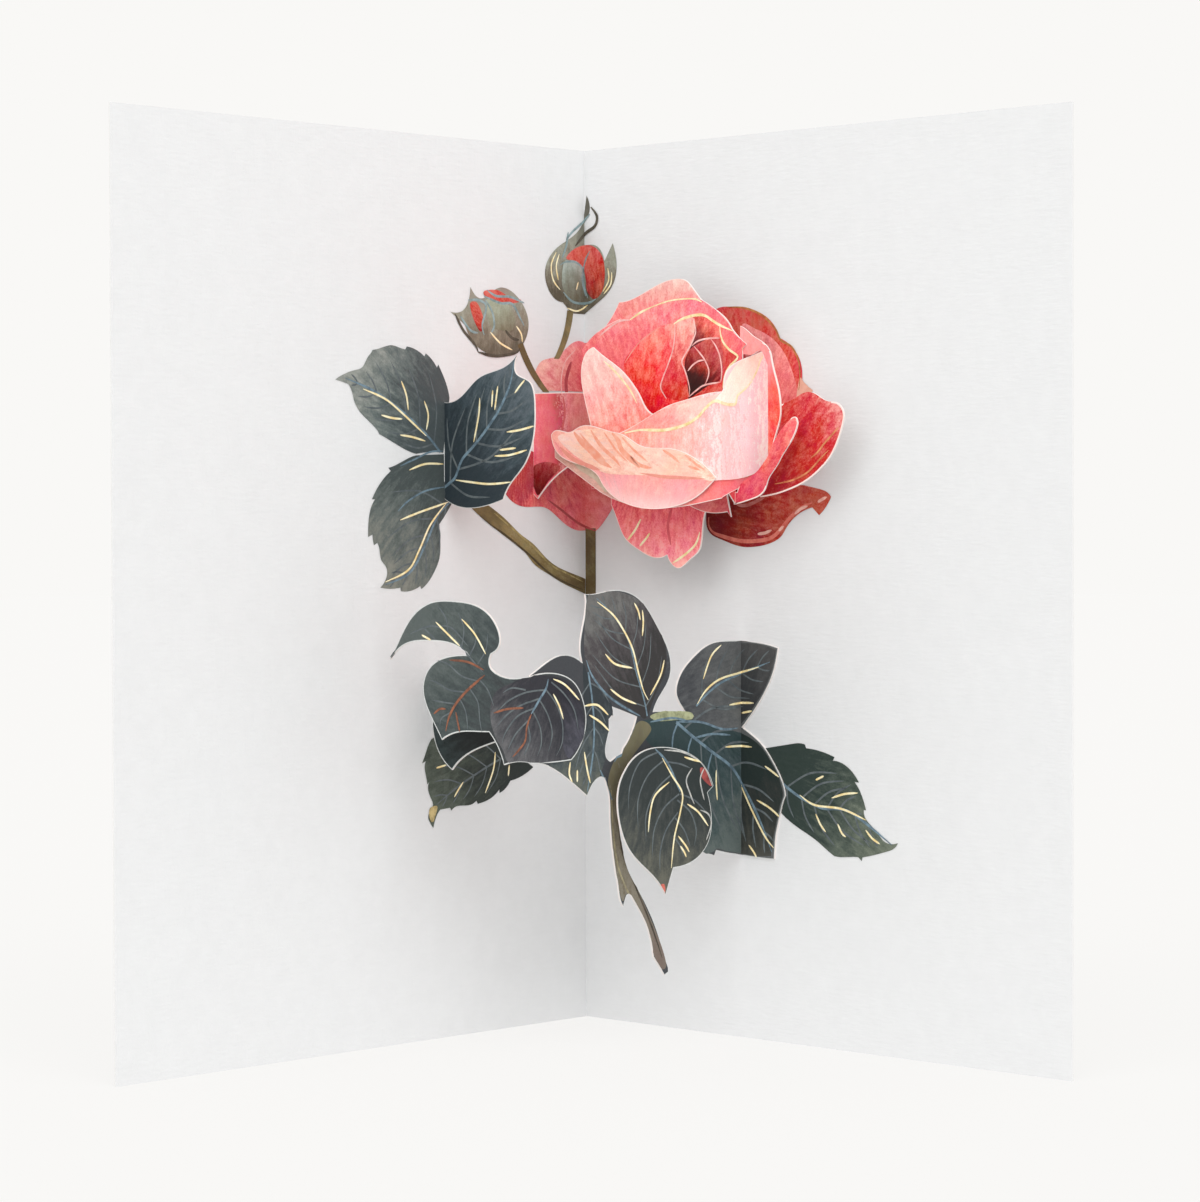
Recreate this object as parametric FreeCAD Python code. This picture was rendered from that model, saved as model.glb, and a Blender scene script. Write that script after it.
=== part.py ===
import FreeCAD, Part
import math
import os

# A pop-up greeting card, standing open: a folded card with a printed lining, and a rose of
# die-cut, folded and glued paper pieces that rises out of the fold.
# All sizes are millimetres. +Z is up, the fold is at the back (+Y), the card opens towards -Y,
# and the origin is the centre of the footprint of the open card, on the surface it stands on.

# Card
PANEL_WIDTH = 127.0
PANEL_HEIGHT = 177.8
OPENING = 86.1
COVER_SHEET = 0.35
LINING_SHEET = 0.30
SPINE_RADIUS = 0.5

# Pop-up paper, its glue tabs, and the printed film on the lining
SHEET = 0.30
TAB = 4.0
BRACKET_TAB = 5.0
INK = 0.05
CLEAR = 0.4

# Fold lines of the bloom. P is the distance of a facet from the right panel, Q from the left.
BAND_P = 15.2
BAND_Q = 9.6
BLOOM_Q = 52.6
HEART_P = 8.3
SIDE_P = 11.0

# Fold lines of the raised leaves
LEAF_P = 41.0
SPRAY_P = 61.5
SPRAY_Q = 44.5
UNDER_LEAF_P = 45.0
UNDER_LEAF_Q = 20.0
FRONT_LEAF_PAD = 3.0
PAD_SIDE = 8.0

# Hidden folded struts
LEFT_STRUT_Q = 20.0
RIGHT_STRUT_Q = 44.0
WING_STRUT_Q = 66.0
LEAF_STRUT_P = 34.0
LEAF_STRUT_Q = 12.0
HEART_STRUT_Z = (116.0, 126.0)
WING_STRUT_Z = (113.0, 119.0)
LEAF_STRUT_Z = (110.0, 122.0)

HALF = math.radians(OPENING / 2.0)
LEFT_WAY = FreeCAD.Vector(-math.sin(HALF), -math.cos(HALF), 0)
RIGHT_WAY = FreeCAD.Vector(math.sin(HALF), -math.cos(HALF), 0)
UP = FreeCAD.Vector(0, 0, 1)
SLANT = math.sin(math.radians(OPENING))
PLY = SHEET / SLANT
FILM = INK / SLANT
CARD_PLY = (COVER_SHEET + LINING_SHEET) / SLANT
LINING_PLY = LINING_SHEET / SLANT
BACK_Y = 2.0 * CARD_PLY * math.cos(HALF) - SPINE_RADIUS * (1.0 / math.sin(HALF) - 1.0)
FRONT_Y = -PANEL_WIDTH * math.cos(HALF)
ORIGIN_SHIFT = FreeCAD.Vector(0, -(BACK_Y + FRONT_Y) / 2.0, 0)

# Levels of the glued layers, each counted from the panel that the facet is parallel to
LEFT_PETAL_P = BAND_P
UNDER_PETAL_P = BAND_P + PLY
FRONT_PETAL_P = UNDER_PETAL_P + PLY
LOW_PETAL_P = FRONT_PETAL_P + PLY
CROWN_P = HEART_P - PLY
WING_P = CROWN_P - PLY
HEART_FACE_P = HEART_P + PLY
FRONT_PETAL_Q = BLOOM_Q + PLY
STEM_P = SPRAY_P - PLY
STEM_Q = SPRAY_Q - PLY
FRONT_LEAF_Q = SPRAY_Q + FRONT_LEAF_PAD


def flat_face(*runs):
    """A closed outline in a sheet's own plane, as a face.

    Each run starts where the last one ended. Two points make a straight cut, more a smooth one.
    """
    edges = []
    for run in runs:
        points = [FreeCAD.Vector(s, z, 0) for s, z in run]
        if len(points) == 2:
            edges.append(Part.makeLine(points[0], points[1]))
        else:
            curve = Part.BSplineCurve()
            curve.interpolate(points)
            edges.append(curve.toShape())
    first, last = runs[0][0], runs[-1][-1]
    if first != last:
        edges.append(Part.makeLine(FreeCAD.Vector(*last, 0), FreeCAD.Vector(*first, 0)))
    return Part.Face(Part.Wire(edges))


def toothed(*runs):
    """A closed outline with small teeth: a straight cut joins each run to the next, if they part."""
    whole = []
    for i, run in enumerate(runs):
        after = runs[(i + 1) % len(runs)][0]
        whole.append(run)
        if run[-1] != after:
            whole.append([run[-1], after])
    return flat_face(*whole)


def oblong(s_low, s_high, z_low, z_high):
    """A rectangle in a sheet's own plane, as a face."""
    corners = [(s_low, z_low), (s_high, z_low), (s_high, z_high), (s_low, z_high)]
    return flat_face(*[[corners[i], corners[(i + 1) % 4]] for i in range(4)])


def joined(faces):
    """Several overlapping faces as one."""
    whole = faces[0].fuse(faces[1:])
    return whole.removeSplitter()


def moved(points, step):
    """The same points, moved along the sheet."""
    return [(s + step, z) for s, z in points]


def stand(face, along, across, level, ply, start=0.0, sign=1.0):
    """Stands a flat face up in the card, on the plane at level, and gives it its thickness."""
    matrix = FreeCAD.Matrix()
    run = along * sign
    side = run.cross(UP)
    matrix.A11, matrix.A21, matrix.A31 = run.x, run.y, run.z
    matrix.A12, matrix.A22, matrix.A32 = 0.0, 0.0, 1.0
    matrix.A13, matrix.A23, matrix.A33 = side.x, side.y, side.z
    place = along * start + across * level
    matrix.A14, matrix.A24, matrix.A34 = place.x, place.y, place.z
    placed = face.copy()
    placed.Placement = FreeCAD.Placement(matrix)
    return placed.extrude(across * ply)


def p_facet(face, p_level, ply=PLY, start=0.0, sign=1.0):
    """A facet parallel to the right panel. The face's own s runs along Q."""
    return stand(face, RIGHT_WAY, LEFT_WAY, p_level, ply, start, sign)


def q_facet(face, q_level, ply=PLY, start=0.0, sign=1.0):
    """A facet parallel to the left panel. The face's own s runs along P."""
    return stand(face, LEFT_WAY, RIGHT_WAY, q_level, ply, start, sign)


def glued(facets):
    """Facets of one folded sheet as one solid."""
    sheet = facets[0].fuse(facets[1:]).removeSplitter()
    return sheet.Solids[0] if len(sheet.Solids) == 1 else sheet


def between(face, s_low, s_high):
    """The stretch of a flat face between two fold lines."""
    box = face.BoundBox
    return face.common(oblong(s_low, s_high, box.YMin - 1.0, box.YMax + 1.0))


def folded_panels(outer, inner):
    """A sheet folded once at the spine, between two depths behind the lining's face."""
    tip = PANEL_WIDTH

    def corner(depth):
        return (LEFT_WAY + RIGHT_WAY) * -depth

    points = [LEFT_WAY * tip + RIGHT_WAY * -outer, corner(outer), RIGHT_WAY * tip + LEFT_WAY * -outer,
              RIGHT_WAY * tip + LEFT_WAY * -inner, corner(inner), LEFT_WAY * tip + RIGHT_WAY * -inner]
    return Part.Face(Part.makePolygon(points + points[:1])).extrude(UP * PANEL_HEIGHT)


def cover_card():
    """The outer card, with its spine rounded where it is folded."""
    card = folded_panels(CARD_PLY, LINING_PLY)
    back = (LEFT_WAY + RIGHT_WAY) * -CARD_PLY
    spine = [edge for edge in card.Edges
             if all(abs(v.X - back.x) < 0.01 and abs(v.Y - back.y) < 0.01 for v in edge.Vertexes)]
    return card.makeFillet(SPINE_RADIUS, spine)


def lining_sheet():
    """The printed lining, glued inside the cover."""
    return folded_panels(LINING_PLY, 0.0)


def strut(q_line, p_top, z_range):
    """A folded strut that holds a facet off the right panel, glued at both ends."""
    low, high = z_range
    foot = p_facet(oblong(q_line - TAB, q_line + PLY, low, high), 0.0)
    leg = q_facet(oblong(0.0, p_top, low, high), q_line)
    head = p_facet(oblong(q_line - TAB, q_line + PLY, low, high), p_top - PLY)
    return glued([foot, leg, head])


def band_petal():
    """The pink band: a small tent across the fold, with a glue tab on each panel."""
    top = 127.8
    left = flat_face([(0.0, 107.5), (0.0, top)], [(0.0, top), (BAND_Q + PLY, top)],
                     [(BAND_Q + PLY, top), (BAND_Q + PLY, 112.8)],
                     [(BAND_Q + PLY, 112.8), (5.5, 110.3), (1.2, 106.5)], [(1.2, 106.5), (0.0, 107.5)])
    right = flat_face([(0.0, 110.3), (0.0, top)], [(0.0, top), (BAND_P + PLY, top)],
                      [(BAND_P + PLY, top), (BAND_P + PLY, 112.8)],
                      [(BAND_P + PLY, 112.8), (BAND_P - 1.0, 113.6), (BAND_P / 3.0, 111.3), (0.0, 110.3)])
    left_tab = q_facet(oblong(BAND_P - TAB, BAND_P + PLY, 110.0, top - 1.0), 0.0)
    right_tab = p_facet(oblong(BAND_Q - TAB, BAND_Q + PLY, 112.0, top - 1.0), 0.0)
    return glued([p_facet(left, BAND_P), q_facet(right, BAND_Q), left_tab, right_tab])


def crown_petal():
    """The pale outer petal at the top of the bloom, behind the heart."""
    step = BLOOM_Q
    lip = moved([(-41.2, 139.1), (-36.9, 142.7), (-34.6, 145.8)], step)
    crest = moved([(-34.6, 145.8), (-26.1, 147.9), (-19.1, 149.7), (-15.8, 149.2), (-13.1, 146.7),
                   (-10.6, 144.6), (-7.4, 142.7), (-5.6, 141.0)], step)
    foot = moved([(-5.6, 141.0), (-6.6, 137.0), (-39.0, 136.0), (-41.2, 139.1)], step)
    return p_facet(flat_face(lip, crest, foot[:2], foot[1:3], foot[2:]), CROWN_P)


def heart_petals():
    """The sheet printed with the petals of the bloom's heart, which carries the rest of it."""
    low, shoulder = 108.5, 129.0
    left = BAND_Q + PLY + CLEAR
    right = BLOOM_Q - CLEAR
    step = BLOOM_Q
    crest = moved([(-45.0, 136.6), (-39.7, 140.4), (-33.4, 142.6), (-25.5, 144.5), (-20.0, 145.7),
                   (-15.8, 145.9), (-12.5, 145.6), (-8.4, 143.7), (-5.2, 141.7), (-3.1, 139.3)], step)
    nose = moved([(-3.1, 139.3), (-1.5, 137.8), (0.7, 136.2)], step)
    corners = [(right, 135.3), (right, low), (left, low), (left, shoulder)]
    sides = [[nose[-1], corners[0]], corners[:2], corners[1:3], corners[2:], [corners[-1], crest[0]]]
    return p_facet(flat_face(crest, nose, *sides), HEART_P)


def right_petal():
    """The slim petal right of the heart, glued behind it. It passes over the front petal's flap."""
    top = moved([(-1.2, 139.8), (0.4, 139.0), (2.3, 137.7), (4.7, 136.5), (6.2, 135.3), (7.0, 133.9)],
                BLOOM_Q)
    edge = moved([(7.0, 133.9), (7.4, 132.2), (8.1, 130.0), (8.9, 127.7), (9.4, 125.2), (9.5, 122.3),
                  (8.8, 119.9), (7.0, 114.0)], BLOOM_Q)
    inner = moved([(6.2, 114.0), (6.2, 132.0)], BLOOM_Q)
    arch = moved([(6.2, 132.0), (5.2, 133.8), (4.3, 134.9), (2.8, 134.5), (1.0, 134.2)], BLOOM_Q)
    tongue = moved([(1.0, 134.2), (-4.1, 134.6), (-4.1, 138.3), (-1.2, 136.9), (-1.2, 139.8)], BLOOM_Q)
    return p_facet(flat_face(top, edge, [edge[-1], inner[0]], inner, arch,
                             *[tongue[i:i + 2] for i in range(4)]), CROWN_P)


def base_petal():
    """The ragged petal that hangs below the bloom, glued behind the heart sheet."""
    edge = moved([(-37.0, 105.2), (-35.3, 102.2), (-33.3, 98.8), (-29.1, 96.2), (-24.8, 94.7),
                  (-21.2, 95.3)], BLOOM_Q)
    lobe = moved([(-21.2, 95.3), (-20.1, 93.6), (-18.4, 92.7), (-15.1, 94.3), (-12.4, 96.3),
                  (-11.5, 100.2), (-10.7, 103.8)], BLOOM_Q)
    high = 114.0
    start, end = edge[0], lobe[-1]
    return p_facet(flat_face(edge, lobe, [end, (end[0], high)], [(end[0], high), (start[0], high)],
                             [(start[0], high), start]), CROWN_P)


def tip_petal():
    """The small pointed petal between the base petal and the side petal."""
    hem = moved([(-14.6, 105.1), (-9.1, 103.6), (-4.2, 103.8)], BLOOM_Q)
    point = moved([(-4.2, 103.8), (-3.2, 102.8), (-4.2, 106.7), (-4.4, 111.5), (-14.6, 111.5),
                   (-14.6, 105.1)], BLOOM_Q)
    return p_facet(flat_face(hem, *[point[i:i + 2] for i in range(5)]), HEART_FACE_P)


def left_petal():
    """The pale petal at the bloom's left, glued behind the sheet that carries the front."""
    left_edge = moved([(7.9, 112.0), (7.2, 120.5), (4.8, 128.2), (4.4, 132.2), (5.4, 135.1),
                       (7.8, 136.6)], BAND_Q)
    right_edge = moved([(7.8, 136.6), (12.9, 133.5), (15.7, 131.8), (18.5, 129.4), (20.8, 126.8),
                        (22.6, 124.2), (24.4, 123.0)], BAND_Q)
    foot = (BAND_Q + 24.4, 112.0)
    return p_facet(flat_face(left_edge, right_edge, [right_edge[-1], foot], [foot, left_edge[0]]),
                   LEFT_PETAL_P)


def under_petal():
    """The folded sheet under the front petal. It runs from the pink band to the right panel."""
    fold = BLOOM_Q + PLY
    left = BAND_Q - 3.0
    brow = [(left, 118.2), (fold - 27.0, 118.0), (fold - 17.0, 120.6), (fold, 124.5)]
    hem = moved([(0.0, 106.4), (-5.6, 105.5), (-11.0, 104.8), (-19.3, 104.6), (-33.3, 107.8)], fold)
    face = flat_face(brow, [brow[-1], hem[0]], hem, [hem[-1], (left, 114.8)], [(left, 114.8), brow[0]])
    deep = UNDER_PETAL_P + PLY
    side = flat_face([(deep, 106.4), (10.2, 108.4), (5.0, 110.6), (1.2, 114.5), (0.0, 117.0)],
                     [(0.0, 117.0), (0.0, 130.0)], [(0.0, 130.0), (deep, 124.5)],
                     [(deep, 124.5), (deep, 106.4)])
    tab = p_facet(oblong(BLOOM_Q - TAB, fold, 117.0, 130.0), 0.0)
    return glued([p_facet(face, UNDER_PETAL_P), q_facet(side, BLOOM_Q), tab])


def front_petal():
    """The large front petal, folded over the sheet below it, with its lip rising to a point."""
    fold = FRONT_PETAL_Q + PLY
    lip = moved([(-27.9, 119.4), (-18.1, 123.1), (-14.0, 124.6), (-8.6, 125.7), (-4.5, 126.5),
                 (0.0, 126.9)], fold)
    low = 109.9
    foot = moved([(0.0, low), (-8.0, 109.0), (-27.0, 110.0), (-31.0, 116.5)], fold)
    face = flat_face(lip, [lip[-1], foot[0]], foot, [foot[-1], lip[0]])
    deep = FRONT_PETAL_P + PLY
    flap = [(deep, 126.9), (deep - 0.6, 127.0), (deep - 1.1, 129.1), (deep - 2.6, 131.5),
            (deep - 6.1, 133.1), (deep - 10.7, 134.4), (deep - 12.8, 135.0)]
    back = [(deep - 12.8, 135.0), (deep - 14.0, 133.8), (PLY, 132.6)]
    hem = [(PLY, 115.2), (2.4, 112.9), (6.4, 111.1), (10.1, 110.3), (deep, low)]
    side = flat_face(flap, back, [back[-1], hem[0]], hem, [hem[-1], flap[0]])
    return glued([p_facet(face, FRONT_PETAL_P), q_facet(side, FRONT_PETAL_Q)])


def low_petal():
    """The streaked petal across the front of the bloom, with its tip out to the left."""
    fold = FRONT_PETAL_Q + PLY
    tail = moved([(10.3, 110.6), (3.2, 113.6), (-1.2, 115.3), (-3.5, 119.3)], BAND_Q)
    tip = moved([(-2.6, 120.1), (1.7, 119.8), (4.6, 120.8)], BAND_Q)
    brow = moved([(-30.4, 119.8), (-27.1, 119.2), (-22.0, 116.9), (-13.8, 116.2), (-8.3, 114.8),
                  (-4.3, 112.8), (-1.1, 110.3)], fold)
    keel = moved([(-1.1, 110.3), (-2.4, 109.3), (-5.6, 107.1), (-11.1, 105.1), (-19.3, 104.4),
                  (-26.3, 105.6), (-31.3, 108.2)], fold)
    return p_facet(flat_face(tail[-1:] + tip + brow, keel + tail[:1], tail), LOW_PETAL_P)


def wing_petal():
    """The deep red petal at the right, glued behind the right petal and held by a strut."""
    crest = moved([(6.2, 121.5), (9.6, 124.4), (12.5, 125.3), (14.3, 126.1), (16.4, 126.6), (18.2, 126.2),
                   (19.7, 125.4), (21.5, 124.7), (23.3, 124.5), (24.6, 123.9), (25.4, 122.8),
                   (25.5, 121.1)], BLOOM_Q)
    keel = moved([(25.5, 121.1), (24.8, 119.0), (23.8, 116.8), (22.0, 114.1), (19.5, 111.9),
                  (16.9, 110.2), (14.6, 109.1), (11.7, 108.1), (9.1, 107.4), (6.4, 106.9),
                  (3.8, 106.6)], BLOOM_Q)
    heel = moved([(3.8, 106.6), (3.8, 109.0), (6.2, 111.0), (6.2, 121.5)], BLOOM_Q)
    return p_facet(flat_face(crest, keel, *[heel[i:i + 2] for i in range(3)]), WING_P)


def side_petal():
    """The slim petal in front of the wing petal. Its tab is glued inside the under petal's side."""
    near = BLOOM_Q - PLY
    upper = moved([(0.9, 107.6), (2.2, 109.4), (3.8, 110.3), (6.5, 111.8), (7.8, 113.1), (9.1, 114.6),
                   (9.9, 116.1), (10.9, 117.6), (12.0, 118.9), (13.3, 120.2), (14.8, 121.3)], near)
    tip = moved([(14.8, 121.3), (16.2, 121.8), (16.8, 120.6)], near)
    lower = moved([(16.8, 120.6), (15.9, 118.4), (14.3, 116.3), (12.8, 114.6), (11.7, 113.1),
                   (10.4, 111.6), (9.1, 110.1), (8.6, 108.9), (8.0, 107.8), (7.0, 107.0), (4.3, 106.1),
                   (1.7, 105.5), (0.0, 105.2)], near)
    face = flat_face([(near, 105.2), (near, 107.6)], [(near, 107.6), upper[0]], upper, tip, lower)
    tab = q_facet(flat_face([(SIDE_P, 105.2), (SIDE_P + TAB, 109.4)],
                            [(SIDE_P + TAB, 109.4), (SIDE_P + TAB, 113.0)],
                            [(SIDE_P + TAB, 113.0), (SIDE_P, 113.0)],
                            [(SIDE_P, 113.0), (SIDE_P, 105.2)]), near)
    return glued([p_facet(face, SIDE_P), tab])


def upper_leaf():
    """The raised dark leaf at the upper left, with a glue tab on the left panel."""
    top = [(0.0, 125.5), (4.5, 126.3), (10.0, 130.0), (17.5, 132.0), (21.0, 134.2)]
    right = [(21.0, 134.2), (21.2, 130.3), (24.5, 128.9), (26.0, 124.0), (25.5, 118.0), (23.0, 113.0),
             (18.5, 108.8), (17.0, 106.3)]
    foot = [(17.0, 106.3), (11.5, 105.0), (5.0, 104.8), (0.0, 106.5)]
    face = flat_face(top, right, foot, [foot[-1], top[0]])
    tab = q_facet(oblong(LEAF_P - TAB, LEAF_P + PLY, 107.5, 124.5), 0.0)
    return glued([p_facet(face, LEAF_P), tab])


def bracket(p_near, p_far, q_line, z_range, under=None):
    """A folded bracket from the left panel to the back of a facet at p_far."""
    low, high = z_range
    foot = q_facet(oblong(p_near - TAB, p_near + PLY, low, high), 0.0)
    face = oblong(0.0, q_line + PLY, low, high)
    if under:
        face = joined([face, under])
    leg = p_facet(face, p_near)
    arm = q_facet(oblong(p_near, p_far, low, high), q_line)
    head = p_facet(oblong(q_line, q_line + BRACKET_TAB, low, high), p_far - PLY)
    return glued([foot, leg, arm, head])


def upper_leaf_bracket():
    """The folded bracket behind the upper leaf."""
    return bracket(LEAF_STRUT_P, LEAF_P, LEAF_STRUT_Q, LEAF_STRUT_Z)


def under_leaf_bracket():
    """The bracket that carries the leaf cluster, with a leaf in shadow as its lower edge."""
    deep = UNDER_LEAF_Q
    leaf = flat_face([(0.0, 66.0), (0.0, 62.0)], [(0.0, 62.0), (2.3, 56.2), (5.8, 53.4)],
                     [(5.8, 53.4), (8.2, 55.5), (13.0, 57.8), (deep + PLY, 60.0)],
                     [(deep + PLY, 60.0), (deep + PLY, 66.0)], [(deep + PLY, 66.0), (0.0, 66.0)])
    return bracket(UNDER_LEAF_P - PLY, SPRAY_P, UNDER_LEAF_Q, (64.0, 72.0), leaf)


def leaf_cluster():
    """Three leaves cut from one sheet, folded over the spray's outer crease."""
    fold_q = SPRAY_Q + PLY
    fold_p = SPRAY_P + PLY
    curl_top = moved([(-39.2, 75.5), (-36.6, 79.4), (-33.1, 83.7), (-27.9, 86.6), (-20.8, 87.1),
                      (-13.3, 85.9), (-9.2, 82.8), (-8.1, 80.0), (-10.6, 77.3)], fold_q)
    notch = moved([(-10.6, 77.3), (-10.9, 75.0), (-8.4, 73.5), (-4.0, 73.0), (0.0, 73.4)], fold_q)
    hem = moved([(0.0, 57.4), (-2.7, 57.5), (-7.1, 56.7)], fold_q)
    scallop = moved([(-7.1, 56.7), (-9.3, 60.7), (-11.2, 62.7)], fold_q)
    mid_low = moved([(-11.2, 62.7), (-16.0, 62.6), (-20.4, 62.2), (-24.4, 60.7)], fold_q)
    mid_left = moved([(-24.4, 60.7), (-28.0, 65.7), (-29.7, 70.9), (-28.6, 73.5), (-22.9, 76.5),
                      (-16.7, 77.0)], fold_q)
    curl_low = moved([(-16.7, 77.0), (-22.3, 79.1), (-28.0, 79.4), (-33.7, 78.9), (-39.2, 75.5)], fold_q)
    left = flat_face(curl_top, notch, [notch[-1], hem[0]], hem, scallop, mid_low, mid_left, curl_low)
    right = flat_face([(fold_p, 73.4), (54.6, 73.8), (49.0, 71.4), (46.8, 67.6), (46.3, 64.7),
                       (48.5, 59.2), (50.5, 57.4)], [(50.5, 57.4), (57.4, 57.2), (fold_p, 57.4)],
                      [(fold_p, 57.4), (fold_p, 73.4)])
    return glued([p_facet(left, SPRAY_P), q_facet(right, SPRAY_Q)])


def stem_pattern():
    """The flat pattern of the stem sheet: s runs from the right panel's fold towards the viewer."""
    left_leaf = flat_face([(70.0, 73.0), (61.5, 73.6), (56.5, 76.1), (47.0, 75.5)],
                          [(47.0, 75.5), (40.0, 70.0)], [(40.0, 70.0), (38.8, 52.0)],
                          [(38.8, 52.0), (41.8, 53.7), (45.8, 50.4)],
                          [(45.8, 50.4), (51.9, 54.3), (57.4, 56.8), (63.0, 57.7), (70.0, 58.0)],
                          [(70.0, 58.0), (70.0, 73.0)])
    centre = flat_face([(47.0, 75.5), (47.6, 79.5), (46.4, 84.0), (46.2, 88.4)],
                       [(46.2, 88.4), (42.5, 88.5), (38.5, 89.0), (30.5, 87.0), (25.3, 81.5),
                        (21.7, 75.3), (21.8, 72.4), (26.2, 66.7), (27.7, 64.0), (30.6, 62.5)],
                       [(30.6, 62.5), (36.0, 62.0)], [(36.0, 62.0), (47.0, 75.5)])
    upper = flat_face([(14.5, 63.0), (18.8, 66.6), (20.0, 69.0), (19.4, 71.3), (17.6, 73.6),
                       (14.9, 75.6), (11.9, 77.3), (9.2, 78.2), (4.3, 78.5), (0.0, 78.4), (-5.1, 78.1),
                       (-9.9, 77.2)],
                      [(-9.9, 77.2), (-9.4, 74.8), (-8.3, 71.7), (-6.4, 68.5), (-4.3, 65.7), (0.0, 61.2)],
                      [(0.0, 61.2), (14.5, 63.0)])
    lower = flat_face([(33.0, 64.6), (26.0, 65.5), (15.8, 65.0), (0.0, 61.4), (-2.9, 59.9),
                       (-5.6, 58.1), (-7.8, 55.8), (-9.9, 53.0), (-11.5, 49.9), (-11.8, 48.4)],
                      [(-11.8, 48.4), (-10.9, 46.4), (-10.1, 43.6), (-9.3, 40.6), (-9.0, 38.0),
                       (-8.8, 35.8)],
                      [(-8.8, 35.8), (-5.0, 35.8), (0.0, 36.1), (4.4, 36.7), (8.1, 37.5)],
                      [(8.1, 37.5), (8.7, 36.5)], [(8.7, 36.5), (10.8, 37.0), (12.9, 37.6), (14.7, 39.0)],
                      [(14.7, 39.0), (30.0, 42.0)],
                      [(30.0, 42.0), (38.5, 52.0)], [(38.5, 52.0), (33.0, 64.6)])
    thorn = [(37.6, 34.7), (37.0, 32.4), (36.5, 30.1), (35.6, 28.7)]
    stem = toothed([(40.9, 56.0), (40.4, 52.5), (39.5, 50.2), (39.3, 46.4), (39.0, 42.6), (38.4, 38.7),
                    (37.6, 34.7)], thorn, [(35.6, 28.7), (35.0, 30.1), (34.4, 30.9), (33.3, 30.6)],
                   [(33.3, 30.6), (31.3, 28.1), (29.2, 25.2), (27.8, 22.2), (26.9, 18.3)],
                   [(26.9, 18.3), (25.2, 16.4), (23.7, 14.5)], [(22.5, 15.0), (22.5, 15.8)],
                   [(22.5, 15.8), (24.3, 19.8), (25.7, 23.0), (27.2, 25.8), (29.2, 28.9), (31.5, 31.9),
                    (33.6, 34.6), (35.0, 37.2), (35.8, 39.9), (36.4, 42.2)],
                   [(36.4, 42.2), (37.0, 45.3), (37.4, 49.1), (36.0, 53.0)], [(38.0, 59.0), (40.9, 56.0)])
    hole = flat_face([(38.6, 66.9), (31.6, 64.7)], [(31.6, 64.7), (35.8, 58.6), (39.2, 56.6)],
                     [(39.2, 56.6), (40.4, 57.6), (39.8, 61.6), (38.6, 66.9)])
    return joined([left_leaf, centre, upper, lower, stem]).cut(hole)


def stem_sheet():
    """The stem, its fork and the leaves on it: one sheet, glued to the right panel."""
    pattern = stem_pattern()
    reach = pattern.BoundBox
    span = between(pattern, 0.0, SPRAY_P)
    flap = between(pattern, reach.XMin - 1.0, PLY)
    leg = q_facet(span, STEM_Q)
    right = p_facet(flap, 0.0, start=SPRAY_Q, sign=-1.0)
    flange = p_facet(oblong(SPRAY_Q - TAB, SPRAY_Q, 58.5, 72.5), STEM_P)
    return glued([leg, right, flange])


def front_leaf():
    """The curled leaf in front of the stem sheet."""
    top = [(38.6, 54.8), (33.8, 58.2), (28.0, 58.9), (22.0, 58.0), (16.8, 55.8), (12.6, 50.6)]
    lobe = [(12.6, 50.6), (14.4, 49.4)]
    right = [(14.4, 49.4), (13.2, 45.0), (13.8, 40.4), (16.6, 37.4), (20.0, 36.0), (24.6, 35.5)]
    tip = [(24.6, 35.5), (26.9, 30.5)]
    left = [(26.9, 30.5), (29.5, 33.5), (37.3, 39.8), (40.4, 46.6), (40.4, 51.4), (38.6, 54.8)]
    return q_facet(flat_face(top, lobe, right, tip, left), FRONT_LEAF_Q)


def front_leaf_pad():
    """The foam pad that holds the front leaf off the stem sheet."""
    s, z = 22.0, 44.0
    return q_facet(oblong(s, s + PAD_SIDE, z, z + PAD_SIDE), SPRAY_Q, FRONT_LEAF_PAD)


def left_print(face):
    """A printed field on the left panel. Its s runs along P."""
    return q_facet(face, 0.0, FILM)


def right_print(face):
    """A printed field on the right panel. Its s runs along Q."""
    return p_facet(face, 0.0, FILM)


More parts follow.
